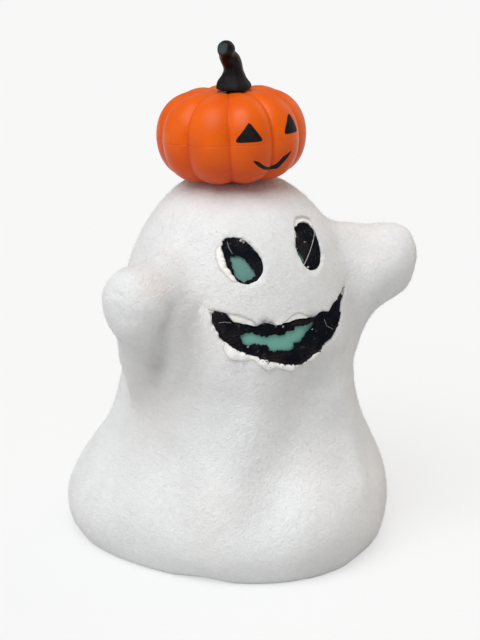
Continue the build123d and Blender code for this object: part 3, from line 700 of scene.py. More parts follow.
def grow_fibres(name, surface, density, length, thickness, leans, seed, material):
    """Piece of fibres on the flocked part of a surface."""
    piece = new_piece(name, surface.copy())
    shape_by(piece, fibres, fibre_keys,
             {"Fibres per square metre": density, "Length": length, "Thickness": thickness,
              "Least lean": leans[0], "Most lean": leans[1], "Seed": seed, "Finish": material})
    return piece


flock = grow_fibres("flock_fibres", body_mesh, flock_density, flock_length, flock_thickness, flock_leans,
                    flock_seed, white_flock)

# Felt lining: a rough black sheet glued behind the face and pressed forward into the cuts. Its own holes
# are torn rather than cut, so their edges are ragged, worn grey in places and bristle with loose fibres.
felt_press = 0.8
felt_rest = 3.3
felt_thickness = 0.6
felt_waves = [(0.2, 0.0, 0.9), (0.25, 0.3, 3.2)]
felt_reach = (28.2, 66.6, 113.6)
press_margin = 0.2
bend_margins = (-0.05, 0.5)
felt_step, felt_jitter, felt_thinning = 0.55, 0.16, 17
tear_step, tear_rough, tear_wave = 0.28, 0.16, 0.12
whisker_density = 5.0e6
whisker_length = 0.7 * MM
whisker_thickness = 0.035 * MM
whisker_leans = (0.5, 1.5)
whisker_seed = 3
torn_edges = [
    [(-17.2, 104.3), (-15.6, 104.9), (-14.3, 104.8), (-12.8, 103.5), (-11.7, 101.5), (-10.9, 99.3),
     (-12.3, 97.9), (-14.6, 97.1), (-16.2, 97.7), (-17.2, 98.9), (-17.2, 101.0)],
    [(5.2, 105.2), (5.9, 104.0), (6.9, 101.6), (7.0, 100.4), (6.2, 100.0), (5.4, 101.2), (4.9, 103.1)],
    [(-18.4, 80.3), (-16.6, 81.7), (-14.1, 81.4), (-12.1, 80.6), (-10.0, 79.9), (-7.8, 80.5), (-4.9, 79.8),
     (-2.9, 81.3), (-1.5, 80.8), (0.1, 82.3), (2.6, 81.7), (4.4, 81.9), (6.7, 82.3), (8.2, 82.6), (7.1, 81.1),
     (4.2, 79.3), (2.4, 77.7), (1.0, 76.5), (-1.1, 76.7), (-0.9, 75.0), (-3.1, 74.4), (-6.2, 75.0),
     (-8.1, 74.7), (-9.9, 75.5), (-10.0, 77.3), (-11.5, 77.1), (-13.6, 77.8), (-15.9, 77.5), (-17.1, 77.9),
     (-18.0, 79.2)],
]


def grid_over(low_x, high_x, low_z, high_z, step):
    """Even grid of points in front view."""
    return np.stack(np.meshgrid(np.arange(low_x, high_x, step), np.arange(low_z, high_z, step)),
                    axis=-1).reshape(-1, 2)


def cut_sheet(outline, holes, lines, filling):
    """Flat triangles inside an outline, without its holes, that keep to the given lines."""
    points = []
    edges = []
    for loop in [outline] + holes + lines:
        first = len(points)
        points.extend(loop)
        edges.extend((first + step, first + (step + 1) % len(loop)) for step in range(len(loop)))
    points.extend(filling)
    made = delaunay_2d_cdt([Vector(point) for point in points], edges, [], 0, 0.0005)
    spots = np.array([tuple(point) for point in made[0]])
    middles = np.array([spots[list(face)].mean(axis=0) for face in made[2]])
    keep = within(middles, outline)
    for hole in holes:
        keep &= ~within(middles, hole)
    return spots, [face for face, kept in zip(made[2], keep) if kept]


def thick_sheet(name, fronts, backs, faces):
    """Closed mesh between a front and a back with the same triangles."""
    used = sorted({corner for face in faces for corner in face})
    place_of = {corner: spot for spot, corner in enumerate(used)}
    count = len(used)
    corners = [fronts[corner] for corner in used] + [backs[corner] for corner in used]
    sides = {}
    solid = []
    for face in faces:
        a, b, c = (place_of[corner] for corner in face)
        solid += [(a, b, c), (c + count, b + count, a + count)]
        for start, end in ((a, b), (b, c), (c, a)):
            if not sides.pop((end, start), False):
                sides[(start, end)] = True
    for start, end in sides:
        solid.append((end, start, start + count, end + count))
    mesh = bpy.data.meshes.new(name)
    mesh.from_pydata(corners, [], solid)
    whole = bmesh.new()
    whole.from_mesh(mesh)
    bmesh.ops.recalc_face_normals(whole, faces=whole.faces)
    whole.to_mesh(mesh)
    whole.free()
    mesh.update()
    return mesh


def face_sheet(name, spots, faces, press, rest, thickness, waves=()):
    """Closed sheet behind the face, with its depths in the cuts and behind the skin and its waves in mm."""
    fronts, backs = [], []
    for (x, z), forward in zip(spots * MM, in_cuts(spots, press_margin)):
        skin_point = skin_at(x, z)
        y = skin_point.y if skin_point is not None else 0.0
        rough = sum(height * noise.noise(Vector((x, seat, z)) / (length * MM))
                    for height, seat, length in waves)
        y += (press + rough if forward else rest) * MM
        fronts.append((x, y, z))
        backs.append((x, y + thickness * MM, z))
    return thick_sheet(name, fronts, backs, faces)


chance = np.random.default_rng(11)
torn_loops = []
for edge in torn_edges:
    loop = closed_loop(edge, tear_step)
    ragged = chance.normal(0, tear_rough, len(loop)) + tear_wave * np.sin(np.arange(len(loop)) * 0.9)
    torn_loops.append(loop + (widened(loop, 1.0) - loop) * ragged[:, None])
wide, low, high = felt_reach
sheet_edge = closed_loop([(-wide + 7, low), (wide - 7, low), (wide - 2, low + 2), (wide, low + 7),
                          (wide, high - 13), (wide - 5, high - 5), (wide - 11, high),
                          (11 - wide, high), (5 - wide, high - 5), (-wide, high - 13),
                          (-wide, low + 7), (2 - wide, low + 2)], 2.0)
edge_lines = [widened(loop, by) for by in bend_margins for loop in cut_loops]
grid = grid_over(-27, 27, 68, 113, felt_step)
grid = grid + chance.uniform(-felt_jitter, felt_jitter, grid.shape)
coarse = np.arange(len(grid)) % felt_thinning == 0
spots, faces = cut_sheet(sheet_edge, torn_loops, edge_lines, grid[in_cuts(grid, -0.35) | coarse])
felt_mesh = face_sheet("felt_lining", spots, faces, felt_press, felt_rest, felt_thickness, felt_waves)

black_felt, place, shader = new_finish("black_felt", Roughness=0.95, Specular_IOR_Level=0.08)
worn = patches(place, 420, 4.0, 0.7, 0.60, 0.74)
tuft = patches(place, 1500, 3.0, 0.7)
rubbed = patches(place, 130, low=0.48, high=0.66)
tone = mixed(tuft, (0.0016, 0.0024, 0.0055, 1), (0.010, 0.0115, 0.018, 1))
tone = mixed(rubbed * tuft * 0.35, tone, (0.075, 0.055, 0.042, 1))
tone = mixed(worn * 0.55, tone, (0.13, 0.115, 0.105, 1))
tone.feed(shader, "Base Color")
bump(tuft, 0.8, 0.3 * MM).feed(shader, "Normal")
felt_lining = new_piece("felt_lining", felt_mesh, black_felt)
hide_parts("face_liner")

mark_points(felt_mesh, "flocked", in_cuts(rows_of(felt_mesh.vertices)[:, (0, 2)] / MM, -0.3))
whiskers = grow_fibres("felt_whiskers", felt_mesh, whisker_density, whisker_length, whisker_thickness,
                       whisker_leans, whisker_seed, black_felt)

# Along the lower lip and the top of the further eye the felt is dragged out over the edge in short tufts
skin_tree = face_tree(places, body_mesh)
fringe_stretches = [(2, -21, 21, 68, 82.2), (1, 4, 13, 106.5, 112), (2, 3.5, 17, 82.4, 87)]
fringe_overlap = 0.9
fringe_rough, tuft_share, tuft_length = 0.14, 0.14, 0.45
fronts, backs, faces = [], [], []
for cut, low_x, high_x, low_z, high_z in fringe_stretches:
    loop = cut_loops[cut]
    tufts = np.abs(chance.normal(0, fringe_rough, len(loop)))
    tufts += (chance.random(len(loop)) > 1 - tuft_share) * tuft_length
    ragged = loop + (widened(loop, 1.0) - loop) * tufts[:, None]
    chosen = (loop[:, 0] > low_x) & (loop[:, 0] < high_x) & (loop[:, 1] > low_z) & (loop[:, 1] < high_z)
    first = len(fronts)
    for edge, under in zip(ragged * MM, widened(loop, -fringe_overlap) * MM):
        meet = front_hit(skin_tree, *edge)
        level = skin_at(*edge).y
        rim = min(level + 0.3 * MM, meet.y) if meet is not None else level
        fronts += [(edge[0], rim - 0.1 * MM, edge[1]), (under[0], level + 0.45 * MM, under[1])]
        backs += [(edge[0], rim + 0.05 * MM, edge[1]), (under[0], level + 0.6 * MM, under[1])]
    for here in np.nonzero(chosen & np.roll(chosen, -1))[0]:
        a, b = first + 2 * here, first + 2 * ((here + 1) % len(loop))
        faces += [(a, b, b + 1), (a, b + 1, a + 1)]
fringe = new_piece("felt_fringe", thick_sheet("felt_fringe", fronts, backs, faces), black_felt)

# Film: a plain sheet of teal plastic, cut to the lining and glued on behind it, which colours the light from
# inside. It is soft enough to be pressed a little way into the cuts, where it looks flat.
film_thickness = 0.3
film_gap = 0.1
film_margin = 1.2
film_step = 1.3
film_press = felt_press + 0.35


def axis_of(place, axis):
    """One coordinate of a place."""
    return place.node("ShaderNodeSeparateXYZ", None, {0: place}, axis)


teal_film, place, shader = new_finish("teal_film", Roughness=0.5, Specular_IOR_Level=0.2)
tone = mixed(patches(place, 60, 3.0), (0.130, 0.280, 0.245, 1), (0.118, 0.255, 0.225, 1))
# Lower down, behind the smile, the teal is painted lighter: painted light that evens out the shade of the
# deeper recess there
low_down = span(axis_of(place, 2), 95 * MM, 86 * MM)
mixed(low_down, tone, (0.180, 0.445, 0.375, 1)).feed(shader, "Base Color")
spots, faces = cut_sheet(widened(sheet_edge, -film_margin), [], edge_lines,
                         grid_over(-26, 26, 69, 112, film_step))
film_mesh = face_sheet("film_sheet", spots, faces, film_press + felt_thickness + film_gap,
                       felt_rest + felt_thickness + film_gap, film_thickness)
film_sheet = new_piece("film_sheet", film_mesh, teal_film)
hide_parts("face_film")

# Glue and lint: what the making left on the face. Clear glue has dried in drops at the corners of the cuts
# and in fine strings across them, and scraps of black felt are caught in the flock below the mouth.
glue_strings = [([(15.2, 108.0), (10.6, 104.1), (5.7, 100.0)], 0.35, 0.10),
                ([(-23.6, 84.9), (-22.0, 85.2), (-20.4, 85.0)], 0.35, 0.05),
                ([(11.3, 82.0), (12.2, 79.7), (15.5, 77.6)], 0.35, 0.05),
                ([(-16.6, 108.7), (-16.7, 106.9), (-16.3, 105.4)], 0.35, 0.05)]
glue_drops = [(-12.6, 109.0, 0.4, 0.7, 0.5), (-12.1, 108.5, 0.45, 0.35, 0.4), (-24.9, 88.1, 0.4, 0.85, 0.45),
              (-25.4, 87.8, 0.4, 0.45, 0.5), (22.2, 87.0, 0.45, 0.5, 0.5), (23.0, 87.6, 0.4, 0.7, 0.45),
              (24.2, 88.3, 0.4, 0.6, 0.35), (7.4, 99.2, 0.5, 0.42, 0.3), (-16.1, 77.2, 0.6, 0.5, 0.22),
              (6.0, 80.0, 0.65, 0.3, 0.2), (-4.9, 82.8, 0.5, 0.3, 0.4), (8.9, 106.1, 0.65, 0.5, 0.14)]
lint_scraps = [(-12.4, 72.4, -0.5, 0.24, 0.14), (-10.2, 70.4, -0.9, 0.2, 0.13),
               (-12.8, 71.3, -0.8, 0.12, 0.1), (-13.6, 72.9, -0.5, 0.16, 0.1),
               (-18.3, 111.2, -0.15, 0.14, 0.12), (-6.0, 70.0, -0.6, 0.18, 0.12),
               (-1.6, 69.2, -0.7, 0.14, 0.16), (3.9, 70.0, -0.6, 0.2, 0.1)]


def lumps(name, spots, material):
    """Small rounded lumps on the face at x and z, with a depth below the skin and two half widths, in mm."""
    made = bmesh.new()
    for x, z, depth, half_wide, half_high in spots:
        spot = skin_at(x * MM, z * MM) + Vector((0, depth * MM, 0))
        size = Matrix.Diagonal((half_wide * MM, 0.5 * min(half_wide, half_high) * MM, half_high * MM, 1))
        bmesh.ops.create_icosphere(made, subdivisions=2, radius=1.0, matrix=Matrix.Translation(spot) @ size)
    mesh = bpy.data.meshes.new(name)
    made.to_mesh(mesh)
    made.free()
    mesh.shade_smooth()
    return new_piece(name, mesh, material)


def two_tone(name, first, second, scale, detail=2.0, low=0.3, high=0.7, rough=None, **fixed):
    """Finish that wanders between two tones, and perhaps in roughness from a least value over a range."""
    material, place, shader = new_finish(name, **fixed)
    share = patches(place, scale, detail, low=low, high=high)
    mixed(share, (*first, 1), (*second, 1)).feed(shader, "Base Color")
    if rough:
        (rough[0] + share * rough[1]).feed(shader, "Roughness")
    return material


dried_glue = two_tone("dried_glue", (0.66, 0.63, 0.58), (0.40, 0.38, 0.36), 900, low=0.35, high=0.65,
                      Roughness=0.35, Specular_IOR_Level=0.4)
lumps("glue_drops", glue_drops, dried_glue)
lumps("felt_lint", lint_scraps, black_felt)
string_curve = bpy.data.curves.new("glue_strings", "CURVE")
string_curve.dimensions = "3D"
string_curve.bevel_depth = MM
string_curve.bevel_resolution = 1
string_curve.use_fill_caps = True
for line, depth, radius in glue_strings:
    run = string_curve.splines.new("POLY")
    stations = even_line(line, 14) * MM
    run.points.add(len(stations) - 1)
    for point, (x, z) in zip(run.points, stations):
        point.co = (x, skin_at(x, z).y + depth * MM, z, 1)
        point.radius = radius
string_maker = linked("string_maker", string_curve)
string_mesh = shape_of(string_maker)
bpy.data.objects.remove(string_maker)
new_piece("glue_strings", string_mesh, dried_glue)

# Pumpkin: two glossy orange mouldings that meet in a faint line round the middle, with ten plump lobes and a
# shallow dimple under the stem. The lower one is pegged into the crown, and the whole leans back on it.
pumpkin_axis_y = 4.4 * MM
pumpkin_middle = 135.88 * MM
pumpkin_radius = 24.5 * MM
pumpkin_core = 4.0 * MM
shoulder_height = 14.95 * MM
belly_height = 14.5 * MM
pumpkin_wall = 1.8 * MM
pumpkin_lean = math.radians(5.2)
lobe_count = 10
lobe_turn = math.radians(-31)
lobe_wobble = math.radians(3)
groove_depth = 2.1 * MM
slit_depth = 0.45 * MM
slit_sharpness = 14.0
dimple_depth = 0.5 * MM
dimple_start = 0.95
shoulder_fullness, belly_fullness = 0.6, 0.48
seam_half = math.radians(0.02)
pumpkin_seat = 121.6 * MM
steps_per_lobe = 30
rise_steps = 80


def lobed_tree():
    """Node tree of one pumpkin half: a grid bent round the axis, its lobes drawn in along the grooves."""
    labels = ("Radius", "Core", "Half height", "Fullness", "Groove", "Slit", "Lobes", "Turn", "Wobble",
              "Dimple", "From", "To", "Axis Y", "Middle")
    tree, give, keys = new_tree("lobed moulding", {**dict.fromkeys(labels, "Float"), "Finish": "Material"})
    start = give["Radius"]
    sheet = start.node("GeometryNodeMeshGrid", None,
                       {"Size X": 1.0, "Size Y": 1.0, "Vertices X": lobe_count * steps_per_lobe + 1,
                        "Vertices Y": rise_steps})
    flat_place = start.node("GeometryNodeInputPosition")
    turn = (axis_of(flat_place, 0) + 0.5) * (2 * math.pi)
    rise = axis_of(flat_place, 1) + 0.5
    latitude = give["From"] + (give["To"] - give["From"]) * rise
    level = start.sum("MAXIMUM", start.sum("COSINE", latitude), 0.0)
    lift = start.sum("SINE", latitude)
    reach = give["Core"] * level ** 0.12 + (give["Radius"] - give["Core"]) * level ** give["Fullness"]
    inner = start.sum("MAXIMUM", (lift - dimple_start) / (1 - dimple_start), 0.0)
    height = give["Half height"] * lift - give["Dimple"] * inner * inner
    ahead = turn - give["Turn"]
    lobe = (ahead - give["Wobble"] * start.sum("SINE", ahead)) * give["Lobes"] / (2 * math.pi)
    across = start.sum("FRACT", lobe) * 2.0 - 1.0
    side = start.sum("ABSOLUTE", across)
    hollow = (give["Groove"] * across * across + give["Slit"] * side ** slit_sharpness) * level ** 0.6
    flat = give["Half height"] * level
    steep = give["Radius"] * lift
    slope = start.sum("SQRT", flat * flat + steep * steep)
    reach = reach - hollow * flat / slope
    height = give["Middle"] + height - hollow * steep / slope
    bent = start.node("ShaderNodeCombineXYZ", None,
                      {0: reach * start.sum("SINE", turn),
                       1: give["Axis Y"] - reach * start.sum("COSINE", turn), 2: height})
    made = start.node("GeometryNodeStoreNamedAttribute", {"data_type": "FLOAT", "domain": "POINT"},
                      {"Geometry": sheet, "Name": "groove_shade", "Value": side})
    made = start.node("GeometryNodeSetPosition", None, {"Geometry": made, "Position": bent})
    made = start.node("GeometryNodeMergeByDistance", None, {"Geometry": made, "Distance": 0.01 * MM})
    made = start.node("GeometryNodeSetShadeSmooth", None, {"Geometry": made})
    made = start.node("GeometryNodeRealizeInstances", None, {"Geometry": made})
    made = start.node("GeometryNodeSetMaterial", None, {"Geometry": made, "Material": give["Finish"]})
    made.feed(tree.nodes.new("NodeGroupOutput"), "Geometry")
    return tree, keys


orange_moulding, place, shader = new_finish("orange_moulding", Roughness=0.4, Specular_IOR_Level=0.22)
above = axis_of(place, 2) - pumpkin_middle
# The narrow slits of the grooves are painted dark red: painted shade in them
groove_shade = span(mark(place, "groove_shade"), 0.93, 1.0) ** 2.0
cloud = patches(place, 110, 3.0, low=0.35, high=0.65)
# Towards the bottom the orange is painted darker and redder: painted shade of the underside
underside_shade = span(above, 2 * MM, -14 * MM)
tone = mixed(cloud, (0.80, 0.118, 0.002, 1), (0.73, 0.095, 0.002, 1))
tone = mixed(underside_shade * 0.85, tone, (0.56, 0.050, 0.006, 1))
tone = mixed(groove_shade * 0.6, tone, (0.46, 0.028, 0.006, 1))
fleck = patches(place, 900, 1.0, low=0.76, high=0.80)
tone = mixed(fleck * 0.5, tone, (0.35, 0.04, 0.01, 1))
tone.feed(shader, "Base Color")
(0.30 + patches(place, 160, 3.0) * 0.16).feed(shader, "Roughness")
bump(grain(place, 260, 2.0), 0.12, 0.25 * MM).feed(shader, "Normal")

lobed, lobed_keys = lobed_tree()
pumpkin_heart = Vector((0, pumpkin_axis_y, pumpkin_middle))
lean = Matrix.Rotation(-pumpkin_lean, 4, "X")
lean = Matrix.Translation(pumpkin_heart) @ lean @ Matrix.Translation(-pumpkin_heart)


def pumpkin_half(name, node, half_height, fullness, dimple, low, high):
    """One moulding of the pumpkin as a closed shell; gives its outer skin alone."""
    half = new_piece(name, bpy.data.meshes.new(name))
    outer_skin = shape_by(half, lobed, lobed_keys, {
        "Radius": pumpkin_radius, "Core": pumpkin_core, "Half height": half_height, "Fullness": fullness,
        "Groove": groove_depth, "Slit": slit_depth, "Lobes": float(lobe_count), "Turn": lobe_turn,
        "Wobble": lobe_wobble, "Dimple": dimple, "From": low, "To": high, "Axis Y": pumpkin_axis_y,
        "Middle": pumpkin_middle, "Finish": orange_moulding})
    outer_skin.transform(lean)
    for corner in outer_skin.vertices:
        corner.co.z = max(corner.co.z, pumpkin_seat)
    shell = half.modifiers.new("wall", "SOLIDIFY")
    shell.thickness = pumpkin_wall
    shell.offset = -1.0
    plain(half)
    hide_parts(node)
    return outer_skin


pumpkin_skins = [
    pumpkin_half("pumpkin_lower", "pumpkin_lower_half", belly_height, belly_fullness, 0.0, -math.pi / 2,
                 -seam_half),
    pumpkin_half("pumpkin_upper", "pumpkin_upper_half", shoulder_height, shoulder_fullness, dimple_depth,
                 seam_half, math.pi / 2),
]

# Painted face: two triangles and a crooked smile, brushed onto the pumpkin in black. The paint lies over
# the lobes in a thin skin with rounded edges.
paint_proud = 0.05 * MM
paint_edge_step, paint_step = 0.3, 0.4
paint_shapes = [
    [(-15.8, 145.0), (-14.3, 144.7), (-5.4, 139.7), (-6.4, 139.1), (-14.3, 139.1), (-25.0, 138.9),
     (-26.7, 139.2), (-25.7, 140.2)],
    [(27.2, 145.6), (28.8, 145.0), (31.6, 140.1), (29.9, 139.7), (17.1, 139.9), (15.9, 140.3), (18.0, 142.1),
     (23.4, 144.9)],
    [(-13.7, 133.2), (-9.3, 132.6), (-4.2, 131.0), (1.4, 129.7), (7.0, 129.6), (10.6, 130.6), (15.1, 132.8),
     (22.5, 134.2), (19.3, 132.1), (15.0, 130.0), (12.9, 128.6), (6.0, 128.3), (-3.3, 129.4), (-8.8, 130.8),
     (-12.1, 132.2)],
]
paint_trees = [face_tree(rows_of(skin.vertices), skin) for skin in pumpkin_skins]


def on_pumpkin(turn, height):
    """Place and way out on the pumpkin's skin at a turn in radians and a height in metres."""
    out = Vector((math.sin(turn), -math.cos(turn), 0))
    start = Vector((0, pumpkin_axis_y, height)) + out * 0.06
    hits = [tree.ray_cast(start, -out) for tree in paint_trees]
    return min((hit for hit in hits if hit[0] is not None), key=lambda hit: hit[3])[0], out


black_paint = two_tone("black_paint", (0.006, 0.004, 0.005), (0.014, 0.010, 0.012), 500, 3.0,
                       rough=(0.42, 0.2), Roughness=0.5, Specular_IOR_Level=0.12)
mm_per_degree = math.radians(1) * pumpkin_radius / MM
fronts, backs, faces = [], [], []
for outline in paint_shapes:
    loop = rounded(closed_loop([(turn * mm_per_degree, height) for turn, height in outline],
                               paint_edge_step), 2)
    (low_x, low_z), (high_x, high_z) = loop.min(axis=0), loop.max(axis=0)
    grid = grid_over(low_x, high_x, low_z, high_z, paint_step)
    spots, triangles = cut_sheet(loop, [], [], grid[within(grid, widened(loop, -paint_step / 2))])
    first = len(fronts)
    for across, height in spots:
        spot, out = on_pumpkin(across * MM / pumpkin_radius, height * MM)
        fronts.append(spot + out * paint_proud)
        backs.append(spot - out * paint_proud)
    faces.extend(tuple(first + corner for corner in face) for face in triangles)
painted_face = new_piece("painted_face", thick_sheet("painted_face", fronts, backs, faces), black_paint)
painted_face.data.shade_smooth()

# Stem: a dark moulding with a flared, uneven foot, a leaning shank and a knob with a cut end. It is pegged
# into the pumpkin, its foot just clear of it. The shank is glossy red-brown under the black.
stem_voxel = 0.28 * MM
flute_depth = 0.16 * MM
pit_depth, pit_size = 0.09 * MM, 1.7 * MM
stem_foot = Vector((0.15, 3.25, 151.46)) * MM
stem_end = Vector((-5.46, 0.68, 165.31)) * MM


def stretched(place, scale):
    """Place with each axis scaled, for a grain that runs one way."""
    return place.node("ShaderNodeVectorMath", {"operation": "MULTIPLY"}, {0: place, 1: scale})


stem_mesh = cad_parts["pumpkin_stem"].data.copy()
welded = weld(stem_mesh)
welded.to_mesh(stem_mesh)
welded.free()
dark_stem, place, shader = new_finish("dark_stem", Roughness=0.4, Specular_IOR_Level=0.14)
above = axis_of(place, 2)
knob = span(above, 161.5 * MM, 163.5 * MM)
shank = span(above, 155.5 * MM, 158.5 * MM) * (1.0 - knob)
streak = patches(stretched(place, (1, 1, 0.25)), 900)
tone = mixed(streak, (0.004, 0.0035, 0.004, 1), (0.012, 0.010, 0.012, 1))
tone = mixed(shank * 0.9, tone, (0.006, 0.001, 0.001, 1))
# Round the middle of the cut end the stem is painted lighter and bluish: a painted highlight
highlight_gap = place.node("ShaderNodeVectorMath", {"operation": "DISTANCE"}, {0: place, 1: stem_end}, "Value")
tone = mixed(span(highlight_gap, 2.2 * MM, 1.2 * MM), tone, (0.045, 0.062, 0.068, 1))
tone.feed(shader, "Base Color")
(0.58 - shank * 0.25 - knob * 0.25).feed(shader, "Roughness")
bump(streak, 0.35, 0.15 * MM).feed(shader, "Normal")
pumpkin_stem = new_piece("stem", stem_mesh, dark_stem)
stem_mesh = even_skin(pumpkin_stem, stem_voxel)
stem_mesh.shade_smooth()
stem_places = rows_of(stem_mesh.vertices)
stem_normals = rows_of(stem_mesh.vertex_normals, "vector")
bearing = np.arctan2(stem_places[:, 0] - stem_foot.x, stem_foot.y - stem_places[:, 1])
flute = np.cos(bearing * 5 + 0.6) + 0.5 * np.cos(bearing * 8 + 2.1)
low_down = 1 - ease(stem_foot.z + 2 * MM, stem_foot.z + 9 * MM, stem_places[:, 2])
low_down *= ease(stem_foot.z - 0.6 * MM, stem_foot.z + 0.2 * MM, stem_places[:, 2])
swell = flute_depth * flute * low_down
for index, spot in enumerate(stem_places):
    swell[index] += pit_depth * noise.noise(Vector(spot) / pit_size)
stem_places += stem_normals * swell[:, None]
stem_mesh.vertices.foreach_set("co", stem_places.ravel())
stem_mesh.update()
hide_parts("pumpkin_stem")

# Base plate, door and hinge: white moulded plastic with a fine spark-eroded grain, closing the hem from
# below. The plate carries the battery well and is screwed to the shell; the door swings on a drawn steel
# pin.


def finish_nodes(material, *names):
    """Gives solids of the frame, shown as they are, a finish."""
    for name in names:
        dress(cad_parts[name].data, material)


white_plate, place, shader = new_finish("white_plate", Specular_IOR_Level=0.35)
spark = patches(place, 2600, 3.0, 0.7)
scuff = patches(place, 90, 4.0, 0.6, 0.55, 0.75)
tone = mixed(spark * 0.4, (0.80, 0.80, 0.785, 1), (0.72, 0.72, 0.705, 1))
mixed(scuff * 0.35, tone, (0.60, 0.595, 0.57, 1)).feed(shader, "Base Color")
(0.5 + spark * 0.2).feed(shader, "Roughness")
bump(spark, 0.25, 0.08 * MM).feed(shader, "Normal")
finish_nodes(white_plate, "base_plate", "battery_door")
bright_steel, place, shader = new_finish("bright_steel", Metallic=1.0)
drawn = patches(stretched(place, (0.02, 1, 1)), 6000)
mixed(drawn, (0.62, 0.62, 0.64, 1), (0.72, 0.72, 0.74, 1)).feed(shader, "Base Color")
(0.22 + drawn * 0.18).feed(shader, "Roughness")
finish_nodes(bright_steel, "door_hinge_pin")

# Battery contacts and cells: nickel-plated spring wire and sheet at the ends of the well, and three AAA
# cells with plain dark sleeves shrunk over bright cans.
nickel_contact = two_tone("nickel_contact", (0.75, 0.74, 0.70), (0.64, 0.62, 0.57), 700, 3.0, 0.35, 0.65,
                          (0.18, 0.2), Metallic=1.0)
finish_nodes(nickel_contact, "contact_springs", "contact_plates")
cell_jacket, place, shader = new_finish("cell_jacket", Roughness=0.35)
cells_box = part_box("aaa_cells")
cell_half = (cells_box[1][0] - cells_box[0][0]) / 2
bare_can = 3.5 * MM
sleeve_end = cell_half - bare_can
can_end = span(place.sum("ABSOLUTE", axis_of(place, 0)), sleeve_end - 0.1 * MM, sleeve_end + 0.1 * MM)
sleeve_wear = patches(place, 400, 3.0, low=0.4, high=0.7)
tone = mixed(sleeve_wear, (0.012, 0.013, 0.016, 1), (0.03, 0.032, 0.037, 1))
mixed(can_end, tone, (0.70, 0.70, 0.69, 1)).feed(shader, "Base Color")
can_end.feed(shader, "Metallic")
finish_nodes(cell_jacket, "aaa_cells")

# Light: a small green circuit board on two posts over the well, with a clear 5 mm lamp and the lacquered
# resistor that sets its current.
board_green, place, shader = new_finish("board_green", Roughness=0.35)
tracks = place.node("ShaderNodeTexBrick", None,
                    {"Vector": place, "Scale": 220.0, "Mortar Size": 0.04, "Brick Width": 1.4,
                     "Row Height": 0.5, "Color1": (0.012, 0.14, 0.05, 1),
                     "Color2": (0.010, 0.12, 0.045, 1), "Mortar": (0.03, 0.22, 0.085, 1)})
tracks.feed(shader, "Base Color")
finish_nodes(board_green, "light_board")
clear_lamp = two_tone("clear_lamp", (0.90, 0.92, 0.90), (0.84, 0.88, 0.85), 300, Roughness=0.08,
                      Transmission_Weight=0.85, IOR=1.5)
finish_nodes(clear_lamp, "led")
resistor_body, place, shader = new_finish("resistor_body", Roughness=0.4)
resistor_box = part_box("led_resistor")
ring_count = 9
along = axis_of(place, 0) / ((resistor_box[1][0] - resistor_box[0][0]) / ring_count)
ring = span(place.sum("ABSOLUTE", place.sum("FRACT", along) - 0.5), 0.3, 0.32)
hue = grain(stretched(place, (1, 0, 0)), 500)
tone = mixed(ring, (0.56, 0.42, 0.25, 1), (0.20, 0.03, 0.015, 1))
mixed(span(hue, 0.5, 0.52) * ring, tone, (0.02, 0.015, 0.01, 1)).feed(shader, "Base Color")
finish_nodes(resistor_body, "led_resistor")

# Switch and leads: a black moulded slide switch behind the plate, its ribbed button through the slot, and
# thin stranded leads in red and black insulation from the well to the switch and the board.
switch_black, place, shader = new_finish("switch_black", Specular_IOR_Level=0.35)
moulded = patches(place, 1800)
mixed(moulded, (0.012, 0.012, 0.013, 1), (0.024, 0.024, 0.025, 1)).feed(shader, "Base Color")
(0.45 + moulded * 0.2).feed(shader, "Roughness")
bump(moulded, 0.2, 0.05 * MM).feed(shader, "Normal")
finish_nodes(switch_black, "switch_case", "switch_slider")
for name, node, light_tone, dark_tone in (
        ("red_insulation", "red_leads", (0.50, 0.02, 0.015), (0.36, 0.012, 0.01)),
        ("black_insulation", "black_lead", (0.02, 0.02, 0.021), (0.01, 0.01, 0.011))):
    finish_nodes(two_tone(name, light_tone, dark_tone, 500, Roughness=0.45), node)

# Screws: zinc-plated self-tapping screws, three from below through the plate into the shell's bosses and
# two small ones that hold the board. The three below show their cross recesses.
recess_long = 2.9 * MM
recess_wide = 0.7 * MM
recess_deep = 0.9 * MM
head_reach = 8 * MM
zinc_screw = two_tone("zinc_screw", (0.60, 0.60, 0.58), (0.48, 0.48, 0.47), 900, 3.0, 0.35, 0.65, (0.25, 0.2),
                      Metallic=1.0)
finish_nodes(zinc_screw, "board_screws")
screws_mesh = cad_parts["base_screws"].data.copy()
welded = weld(screws_mesh)
welded.to_mesh(screws_mesh)
head_bottom = min(vert.co.z for vert in welded.verts)
rim = [vert.co.copy() for vert in welded.verts if vert.co.z < head_bottom + 0.05 * MM]
welded.free()
heads = []
for corner in rim:
    near = [head for head in heads if (head[0] - corner).length < head_reach]
    if near:
        near[0].append(corner)
    else:
        heads.append([corner])
crosses = bmesh.new()
for head in heads:
    middle = Matrix.Translation(sum(head, Vector()) / len(head))
    for long, wide in ((recess_long, recess_wide), (recess_wide, recess_long)):
        bmesh.ops.create_cube(crosses, size=1.0,
                              matrix=middle @ Matrix.Diagonal((long, wide, 2 * recess_deep, 1)))
recess_mesh = bpy.data.meshes.new("recess")
crosses.to_mesh(recess_mesh)
crosses.free()
recess = linked("recess", recess_mesh)
plate_screws = new_piece("plate_screws", screws_mesh, zinc_screw)
cross = plate_screws.modifiers.new("cross recess", "BOOLEAN")
cross.operation = "DIFFERENCE"
cross.solver = "EXACT"
cross.use_self = True
cross.object = recess
plain(plate_screws)
bpy.data.objects.remove(recess)
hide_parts("base_screws")

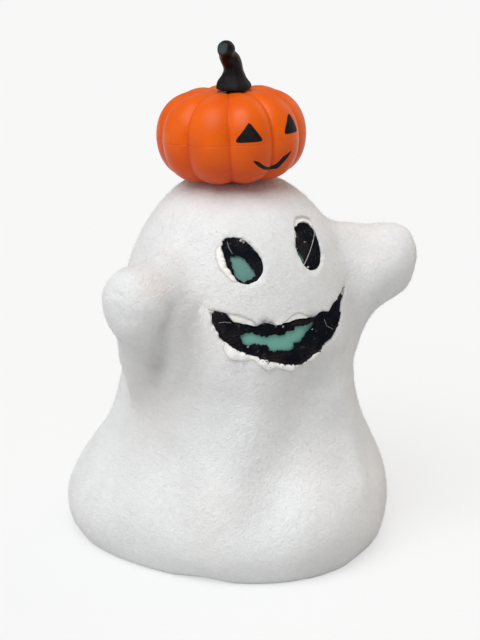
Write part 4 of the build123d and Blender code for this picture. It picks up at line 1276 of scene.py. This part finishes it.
# Floor, light and camera: a plain pale sheet, seen from a little above and from the ghost's right. The
# light is soft, cool from above at the left and weaker and warm from the right.
page_white, page_share = 0.895, 0.7
floor_mesh = bpy.data.meshes.new("floor")
floor_mesh.from_pydata([(-4, -4, 0), (4, -4, 0), (4, 6, 0), (-4, 6, 0)], [], [(0, 1, 2, 3)])
floor = linked("floor", floor_mesh)
pale_floor, place, shader = new_finish("pale_floor", Roughness=0.9, Specular_IOR_Level=0.0)
seen = place.node("ShaderNodeLightPath", None, None, "Is Camera Ray")
path = seen.output.node.outputs
for kind in ("Is Glossy Ray", "Is Transmission Ray"):
    seen = seen.sum("MAXIMUM", seen, Wire(place.tree, path[kind]))
mixed(seen, (0.62, 0.625, 0.625, 1), (0.93, 0.935, 0.935, 1)).feed(shader, "Base Color")
page = place.node("ShaderNodeEmission", None, {"Color": (1.0, 1.0, 1.0, 1), "Strength": page_white})
lit = Wire(place.tree, shader.outputs[0])
lifted = place.node("ShaderNodeMixShader", None, {0: seen * page_share, 1: lit, 2: page})
lifted.feed(place.tree.nodes["Material Output"], "Surface")
floor_mesh.materials.append(pale_floor)

scene.view_settings.view_transform = "Standard"
world = bpy.data.worlds.new("soft room")
world.use_nodes = True
background = world.node_tree.nodes["Background"]
background.inputs["Color"].default_value = (1.0, 0.95, 0.89, 1)
background.inputs["Strength"].default_value = 0.32
scene.world = world
for name, energy, spread, tint, direction in (
        ("key", 2.65, 55, (0.955, 0.98, 1.0), (-0.44, -0.26, 1.0)),
        ("side fill", 0.3, 60, (0.95, 0.98, 1.0), (-0.95, 0.1, 0.12)),
        ("warm fill", 0.7, 60, (1.0, 0.83, 0.68), (0.92, 0.1, 0.25))):
    light = bpy.data.lights.new(name, "SUN")
    light.energy = energy
    light.angle = math.radians(spread)
    light.color = tint
    linked(name, light).rotation_euler = Vector(direction).to_track_quat("Z", "Y").to_euler()

picture_wide, picture_high = 480, 640
focal_pixels = 2100
aim_pixel = (228, 266)
aim = Vector((0, 6.45, 90)) * MM
azimuth, elevation, distance = math.radians(-30), math.radians(18), 700 * MM
lens = bpy.data.cameras.new("camera")
lens.sensor_fit = "VERTICAL"
lens.sensor_height = 36.0
lens.lens = focal_pixels * lens.sensor_height / picture_high
lens.shift_x = (picture_wide / 2 - aim_pixel[0]) / picture_high
lens.shift_y = (aim_pixel[1] - picture_high / 2) / picture_high
back = Vector((math.sin(azimuth) * math.cos(elevation), -math.cos(azimuth) * math.cos(elevation),
               math.sin(elevation)))
camera = linked("camera", lens)
camera.location = aim + back * distance
camera.rotation_euler = back.to_track_quat("Z", "Y").to_euler()
scene.camera = camera
